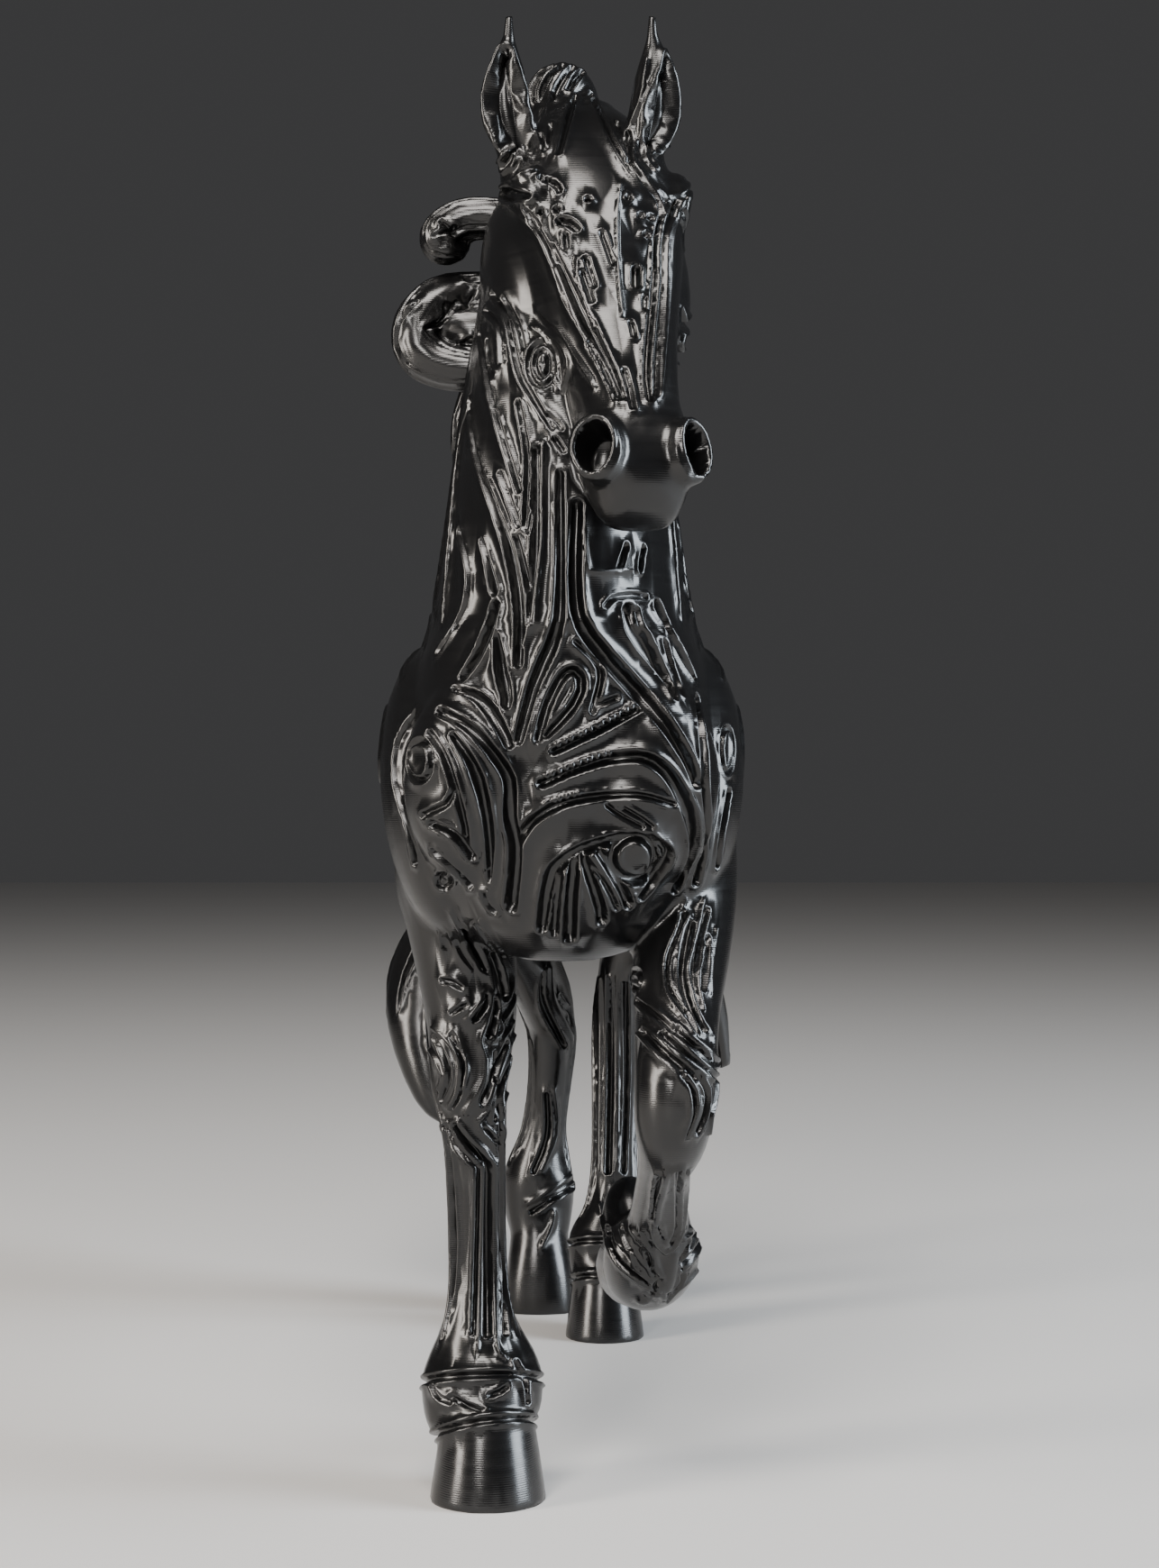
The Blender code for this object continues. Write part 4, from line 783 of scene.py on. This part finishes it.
class Carving:
    """Grooves and ridges gathered as samples on the skin: place, half width, depth or height."""

    def __init__(self, skin):
        self.skin = skin
        self.grooves = []
        self.ridges = []
        self.knobs = []

    def line(self, places, widths, raised=False, depth=None):
        """A groove, or a ridge where raised, through places, its full width running through widths."""
        run = [places[0]]
        for a, b in zip(places, places[1:]):
            parts = max(1, round((b - a).length / STEP))
            run.extend(a.lerp(b, (i + 1) / parts) for i in range(parts))
        last = len(widths) - 1
        for i, place in enumerate(run):
            t = last * i / max(1, len(run) - 1)
            k = min(int(t), last - 1)
            width = widths[k] + (widths[k + 1] - widths[k]) * (t - k)
            if raised:
                self.ridges.append((place, max(RIDGE_WIDTH, RIDGE_SPREAD * width) / 2, RIDGE))
            else:
                self.grooves.append((place, WIDER * width / 2, depth or min(DEPTH, SLOPE * width)))

    def runs(self, points, ray):
        """The skin places that ray finds along a smooth stroke, parted where the skin jumps away."""
        run = []
        for point in spline(points, STROKE_STEPS):
            place = ray(point)
            if place is None or (run and (place - run[-1]).length > JUMP):
                if len(run) >= SHORTEST_RUN:
                    yield run
                run = []
            if place is not None:
                run.append(place)
        if len(run) >= SHORTEST_RUN:
            yield run

    def seen(self, point, clear=ANYWHERE):
        """The skin place that the eye sees at an (x, z) point of the front sheet."""
        return cast(self.skin, EYE, (Vector((point[0], 0, point[1])) - EYE).normalized(), clear)

    def front(self, points, widths, clear=ANYWHERE, **how):
        """A stroke of (x, z) points pressed onto the skin along the sight lines from the eye."""
        for run in self.runs(points, lambda point: self.seen(point, clear)):
            self.line(run, widths, **how)

    def dot(self, point, radius, height):
        """A round knob on the skin, or a pit where height is below zero."""
        place = self.seen(point)
        if height < 0:
            self.grooves.append((place, radius, -height))
        else:
            self.ridges.append((place, radius, height))

    def rim(self, centre, facing, half_sizes, width):
        """A raised oval rim round a centre on the skin."""
        turn = facing.to_track_quat("Z", "Y").to_matrix()
        places = [centre + turn @ Vector((a, b, 0)) for a, b in oval((0, 0), half_sizes, 32)]
        self.line([self.skin.find_nearest(place)[0] for place in places], (width, width), raised=True)

    def beads(self, points):
        """A row of round beads along a stroke."""
        for run in self.runs(points, lambda point: self.seen(point, BREAST)):
            length = 0
            for a, b in zip(run, run[1:]):
                length += (b - a).length
                if length > BEAD_PITCH:
                    self.knobs.append((b, BEAD, 1.2 * BEAD))
                    length -= BEAD_PITCH

    def flank(self, points, widths):
        """A stroke of (y, z) points pressed onto both sides from outside."""
        for sign in (-1, 1):
            way = Vector((-sign, 0, 0))

            def ray(point):
                return cast(self.skin, Vector((sign * OUTSIDE, *point)), way)

            for run in self.runs(points, ray):
                self.line(run, widths)

    def cheek(self, points, widths):
        """A stroke of (back, down) points in the frame of the head, pressed onto its left side."""
        way = HEAD.to_3x3() @ Vector((-1, 0, 0))

        def ray(point):
            return cast(self.skin, HEAD @ Vector((OUTSIDE_HEAD, point[0], -point[1])), way)

        for run in self.runs(points, ray):
            self.line(run, widths)

    def above(self, points, widths):
        """A stroke of (x, y) points pressed down from above."""
        way = Vector((0, 0, -1))
        for run in self.runs(points, lambda p: cast(self.skin, Vector((*p, ABOVE)), way)):
            self.line(run, widths)

    def wrapped(self, rows, points, widths, side=SIDE):
        """A stroke of (row number, degrees) points around the limb that these rows describe."""

        def ray(point):
            t = min(max(point[0], 0), len(rows) - 1.001)
            i = int(t)
            a, b = Vector(rows[i][:3]), Vector(rows[i + 1][:3])
            along = (b - a).normalized()
            across = (side - along * side.dot(along)).normalized()
            angle = math.radians(point[1])
            way = across * math.cos(angle) + along.cross(across) * math.sin(angle)
            return self.skin.ray_cast(a.lerp(b, t - i), way, THICKEST)[0]

        for run in self.runs(points, ray):
            self.line(run, widths)


def hollow(places, normals, centre, facing, half_width, half_height, depth):
    """Sinks an oval hollow into the surface round centre that faces the given way."""
    turn = np.array(facing.to_track_quat("Z", "Y").to_matrix())
    local = (places - np.array(centre)) @ turn
    spread = (local[:, 0] / half_width) ** 2 + (local[:, 1] / half_height) ** 2
    near = (spread < 1) & (abs(local[:, 2]) < HOLLOW_REACH)
    inside = near & (normals @ turn[:, 2] > FACING)
    share = np.minimum(1, (1 - spread[inside]) / HOLLOW_WALL)
    places[inside] -= turn[:, 2] * (depth * share**2 * (3 - 2 * share))[:, None]


def read(data, name):
    """The coordinates or normals of all vertices, as rows."""
    values = np.empty(len(data.vertices) * 3, dtype=np.float32)
    getattr(data, name).foreach_get("co" if name == "vertices" else "vector", values)
    return values.reshape(-1, 3).astype(float)


def write(data, places):
    """Moves all vertices to these rows of coordinates."""
    data.vertices.foreach_set("co", places.astype(np.float32).ravel())
    data.update()


def indexed(data):
    """A search tree of the vertices."""
    tree = KDTree(len(data.vertices))
    for vertex in data.vertices:
        tree.insert(vertex.co, vertex.index)
    tree.balance()
    return tree


def nostril(sign):
    """The middle of a nostril and the way it faces."""
    return HEAD @ Vector((sign * 5.0 - 0.4, -6.4, -40.7)), HEAD.to_3x3() @ Vector((sign * 0.62, -0.78, 0))


def refine(horse, samples, around):
    """Divides the faces near the samples of some carving."""
    tree = indexed(horse.data)
    touched = np.zeros(len(horse.data.vertices), dtype=bool)
    for place, half, _ in samples:
        for _, i, _ in tree.find_range(place, half + around):
            touched[i] = True
    chosen = [bool(touched[list(face.vertices)].any()) for face in horse.data.polygons]
    bpy.context.tool_settings.mesh_select_mode = (False, False, True)
    bpy.ops.object.mode_set(mode="EDIT")
    bpy.ops.mesh.select_all(action="DESELECT")
    bpy.ops.object.mode_set(mode="OBJECT")
    horse.data.polygons.foreach_set("select", chosen)
    bpy.ops.object.mode_set(mode="EDIT")
    bpy.ops.mesh.subdivide(number_cuts=1)
    bpy.ops.object.mode_set(mode="OBJECT")


def cut(horse, carving):
    """Sinks the skin under the grooves, with a rounded lip beside them, and raises the ridges."""
    tree = indexed(horse.data)
    edges = {}
    for place, half, depth in carving.grooves:
        for _, i, distance in tree.find_range(place, half + LIP_WIDTH):
            if distance - half < edges.get(i, (9,))[0]:
                edges[i] = (distance - half, half, depth)
    rises = {}
    for place, half, height in carving.ridges + carving.knobs:
        for _, i, distance in tree.find_range(place, half):
            rises[i] = max(rises.get(i, 0), height * (1 - (distance / half) ** 2))
    sunk = horse.vertex_groups.new(name="sunk")
    for i, (beyond, half, depth) in edges.items():
        if beyond < 0:
            share = 1 - (1 + beyond / half) ** (WALL + WALL_GAIN * half)
            sunk.add([i], depth * share / DEEPEST, "REPLACE")
        else:
            lip = LIP * min(1, half / 0.25) * math.sin(math.pi * beyond / LIP_WIDTH)
            rises[i] = max(rises.get(i, 0), lip)
    raised = horse.vertex_groups.new(name="raised")
    for i, height in rises.items():
        raised.add([i], height, "REPLACE")
    applied(horse, "DISPLACE", vertex_group="sunk", mid_level=0, strength=-DEEPEST)
    applied(horse, "DISPLACE", vertex_group="raised", mid_level=0, strength=1)


def front_carving(carving):
    """The carving that the front shows."""
    for strokes, raised, clear in (
        (NECK_GROOVES + CHEST_GROOVES + SHOULDER_GROOVES, False, BREAST),
        (NECK_RIDGES, True, BREAST),
        (FACE_GROOVES + RIGHT_FORE_GROOVES + LEFT_FORE_GROOVES + HIND_GROOVES, False, ANYWHERE),
        (FACE_RIDGES + RIGHT_FORE_RIDGES + LEFT_FORE_RIDGES + HIND_RIDGES + EAR_LINES, True, ANYWHERE),
    ):
        for widths, points in strokes:
            carving.front(points, widths, clear=clear, raised=raised)
    for widths, points in EARS:
        carving.front(points, widths, depth=EAR_HOLLOW)
    for width, middle, half_sizes in RINGS:
        carving.front(oval(middle, half_sizes), (width, width))
    for points in BEADS:
        carving.beads(points)
    for point in PITS:
        carving.dot(point, *PIT)
    for size, point in LOBES:
        carving.dot(point, LOBE[0] * size, LOBE[1] * size)
    for radius, height, point in KNOBS:
        carving.dot(point, radius, height)
    for sign in (-1, 1):
        carving.rim(*nostril(sign), NOSTRIL_RIM, RIM_WIDTH)


def side_carving(carving):
    """The sides and back in the same manner as the front, plainer."""
    for k in range(5):
        down = [(2 + 3.6 * k, 104 + 3 * k), (4.4 + 3.9 * k, 100), (3 + 4.6 * k, 93)]
        carving.flank([*down, (1.5 + 5.6 * k, 83 + 1.6 * k)], FLOWING)
    carving.flank(spiral((12, 72), (1.4, 4.2), 1.4, start=200), FLOWING)
    for k in range(3):
        round_shoulder = [(7 - k, 78 + 3 * k), (13, 80.5 + 3.2 * k), (20 + 3 * k, 74 + k)]
        carving.flank([*round_shoulder, (20 + 4 * k, 64), (15 + 4 * k, 56 - k)], FLOWING)
    for k in range(5):
        along_ribs = [(30 + 1.5 * k, 88 - 6.5 * k), (40 + k, 86.5 - 6.5 * k), (50, 83 - 6 * k)]
        carving.flank([*along_ribs, (58 - k, 76 - 5.5 * k)], FLOWING)
    for k in range(3):
        before_thigh = [(50 + 3 * k, 90 - 2 * k), (57 + 2 * k, 84 - 2 * k), (61 + k, 76 - 2 * k)]
        carving.flank([*before_thigh, (62 - k, 67)], FLOWING)
    carving.flank(spiral((76, 81), (1.4, 5.5), 1.6, start=30), FLOWING)
    for k in range(3):
        round_croup = [(87, 83 + k), (77, 88 + 1.6 * k), (67 - 2.4 * k, 81), (68 - 2 * k, 70)]
        carving.flank([*round_croup, (75 - k, 59 - 3 * k)], FLOWING)
    carving.flank([(86, 80), (83, 70), (82, 60), (83, 50)], FLOWING)
    carving.flank([(79, 73), (76, 66), (78, 56), (82, 47)], FLOWING)
    for x in (-2.6, 2.6):
        carving.above([(x, 27), (x * 1.8, 45), (x * 1.2, 62), (x * 2.4, 82)], FLOWING)
    carving.cheek([(9, 9), (10, 16), (6, 21.5), (0, 26)], FLOWING)
    carving.cheek([(5.5, 10), (6, 16), (3, 20), (-2, 25)], FLOWING)
    eyelids = [(-6.5, 13.2), (-4.5, 9.8), (-1.2, 10.6), (0.4, 12.6), (-2.2, 14.0), (-6.5, 13.2)]
    carving.cheek(eyelids, FINE)
    for rows in (FORE_RIGHT, HIND_LEFT):
        for t in (9.3, 10.75):
            carving.wrapped(rows, [(t, 45 * k) for k in range(9)], (0.5, 0.5))
    for rows, last in ((HIND_LEFT, 8.6), (HIND_RIGHT, 7.8), (FORE_RIGHT, 8.4)):
        for angle in (-60, -120, 160, 20) if rows is not FORE_RIGHT else (150, 30):
            carving.wrapped(rows, [(3.6, angle + 25), (5.5, angle), (7, angle - 8), (last, angle)], FLOWING)
    for angle in range(0, 360, 60):
        carving.wrapped(TAIL, [(0.8, angle), (2.5, angle + 30), (5, angle - 5), (7.6, angle + 25)], FLOWING)
    for rows in LOCKS:
        for angle in (35, 90, 145, 215, 270, 325):
            carving.wrapped(rows, [(0.4, angle), (2, angle + 8), (len(rows) - 1.6, angle)], FINE, side=BACK)


def applied(horse, kind, **settings):
    """Adds a modifier with these settings and applies it."""
    made = horse.modifiers.new(kind.title(), kind)
    for name, value in settings.items():
        setattr(made, name, value)
    bpy.ops.object.modifier_apply(modifier=made.name)


class Socket:
    """A shader socket in expressions: an operator on it adds a Math node."""

    def __init__(self, tree, output):
        self.tree = tree
        self.output = output

    def node(self, kind, settings, values, output=0):
        """One output of a new node, whose settings are made before its values and links."""
        made = self.tree.nodes.new(kind)
        for name, value in settings.items():
            setattr(made, name, value)
        for name, value in values.items():
            if isinstance(value, Socket):
                self.tree.links.new(value.output, made.inputs[name])
            else:
                made.inputs[name].default_value = value
        return Socket(self.tree, made.outputs[output])

    def __add__(self, other):
        return self.node("ShaderNodeMath", {"operation": "ADD"}, {0: self, 1: other})

    def __mul__(self, other):
        return self.node("ShaderNodeMath", {"operation": "MULTIPLY"}, {0: self, 1: other})

    __radd__ = __add__
    __rmul__ = __mul__


def black_print():
    """Glossy black filament laid down in level layers."""
    made = bpy.data.materials.new("print_black")
    made.use_nodes = True
    tree = made.node_tree
    surface = tree.nodes["Principled BSDF"]
    surface.inputs["Base Color"].default_value = BLACK
    place = Socket(tree, tree.nodes.new("ShaderNodeTexCoord").outputs["Object"])
    layers = place.node(
        "ShaderNodeTexWave",
        {"bands_direction": "Z"},
        {"Vector": place, "Scale": math.pi / 10 / LAYER},
        output=1,
    )
    level = place.node("ShaderNodeMapping", {}, {"Vector": place, "Scale": LAYER_STRETCH})
    uneven = place.node("ShaderNodeTexNoise", {}, {"Vector": level, "Scale": 0.4 / LAYER, "Detail": 2.0})
    spots = place.node("ShaderNodeTexNoise", {}, {"Vector": place, "Scale": SPOTS, "Detail": 3.0})
    height = 0.6 * layers + 0.8 * uneven + 0.3 * spots
    bump = place.node("ShaderNodeBump", {}, {"Height": height, "Strength": 1.0, "Distance": LAYER_RELIEF})
    tree.links.new((SMOOTHEST + UNEVENNESS * uneven).output, surface.inputs["Roughness"])
    tree.links.new(bump.output, surface.inputs["Normal"])
    return made


horse = bpy.data.objects.new("carved_horse", body_mesh())
bpy.context.scene.collection.objects.link(horse)
bpy.context.view_layer.objects.active = horse
applied(horse, "REMESH", mode="VOXEL", voxel_size=SKIN_VOXEL)
applied(horse, "SMOOTH", factor=0.5, iterations=round(4 * BLEND_SPREAD / SKIN_VOXEL**2))
corners = [vertex.co for vertex in horse.data.vertices]
carving = Carving(BVHTree.FromPolygons(corners, [list(face.vertices) for face in horse.data.polygons]))
front_carving(carving)
side_carving(carving)
refine(horse, carving.grooves + carving.ridges + carving.knobs, LIP_WIDTH)
refine(horse, carving.knobs, 0)
places = read(horse.data, "vertices")
normals = read(horse.data, "vertex_normals")
for sign in (-1, 1):
    hollow(places, normals, *nostril(sign), *NOSTRIL)
write(horse.data, places)
cut(horse, carving)
applied(horse, "SMOOTH", factor=0.3, iterations=1)
horse.vertex_groups.clear()
applied(horse, "DECIMATE", ratio=min(1, TRIANGLES / (2 * len(horse.data.polygons))))
low, high = (Vector(corner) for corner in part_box("horse"))
horse.data.transform(Matrix.Scale(UNIT, 4) @ Matrix.Translation((-MIDDLE[0], -MIDDLE[1], 0)))
write(horse.data, np.clip(read(horse.data, "vertices"), np.array(low), np.array(high)))
horse.select_set(True)
bpy.ops.object.shade_smooth()
horse.data.materials.clear()
horse.data.materials.append(black_print())
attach(horse, "root")
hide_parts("horse")

bpy.ops.mesh.primitive_plane_add(size=FLOOR_SIZE)
floor = bpy.context.object
floor.name = "floor"
pale = bpy.data.materials.new("pale_floor")
pale.use_nodes = True
paint = pale.node_tree.nodes["Principled BSDF"]
paint.inputs["Base Color"].default_value = (0.5, 0.49, 0.48, 1)
paint.inputs["Roughness"].default_value = 0.6
floor.data.materials.append(pale)


def soft_light(name, place, aim, size, power, colour):
    """A rectangular soft light at place, aimed at a point."""
    data = bpy.data.lights.new(name, "AREA")
    data.shape = "RECTANGLE"
    data.size, data.size_y = size
    data.energy = power
    data.color = colour
    light = bpy.data.objects.new(name, data)
    bpy.context.scene.collection.objects.link(light)
    light.location = place
    light.rotation_euler = (Vector(aim) - Vector(place)).to_track_quat("-Z", "Y").to_euler()


soft_light("left", (-0.45, -0.22, 0.22), (0, 0, 0.08), (0.12, 0.45), 3.8, (1, 0.93, 0.85))
soft_light("right", (0.44, -0.12, 0.2), (0, 0, 0.08), (0.2, 0.45), 6.0, (0.84, 0.92, 1))
soft_light("above", (-0.06, -0.36, 0.58), (0, 0, 0.1), (0.34, 0.24), 5.0, (1, 0.95, 0.9))
soft_light("front", (-0.2, -0.62, 0.3), (0, 0, 0.08), (0.14, 0.28), 2.6, (1, 0.96, 0.92))
world = bpy.data.worlds.new("studio")
bpy.context.scene.world = world
world.use_nodes = True
wall = world.node_tree.nodes["Background"]
wall.inputs["Color"].default_value = (0.8, 0.8, 0.82, 1)
wall.inputs["Strength"].default_value = 0.06

lens = bpy.data.cameras.new("camera")
lens.lens = LENS
lens.clip_start = 0.01
camera = bpy.data.objects.new("camera", lens)
bpy.context.scene.collection.objects.link(camera)
camera.location = [(EYE[i] - (*MIDDLE, 0)[i]) * UNIT for i in range(3)]
camera.rotation_euler = (math.radians(90), 0, 0)
bpy.context.scene.camera = camera
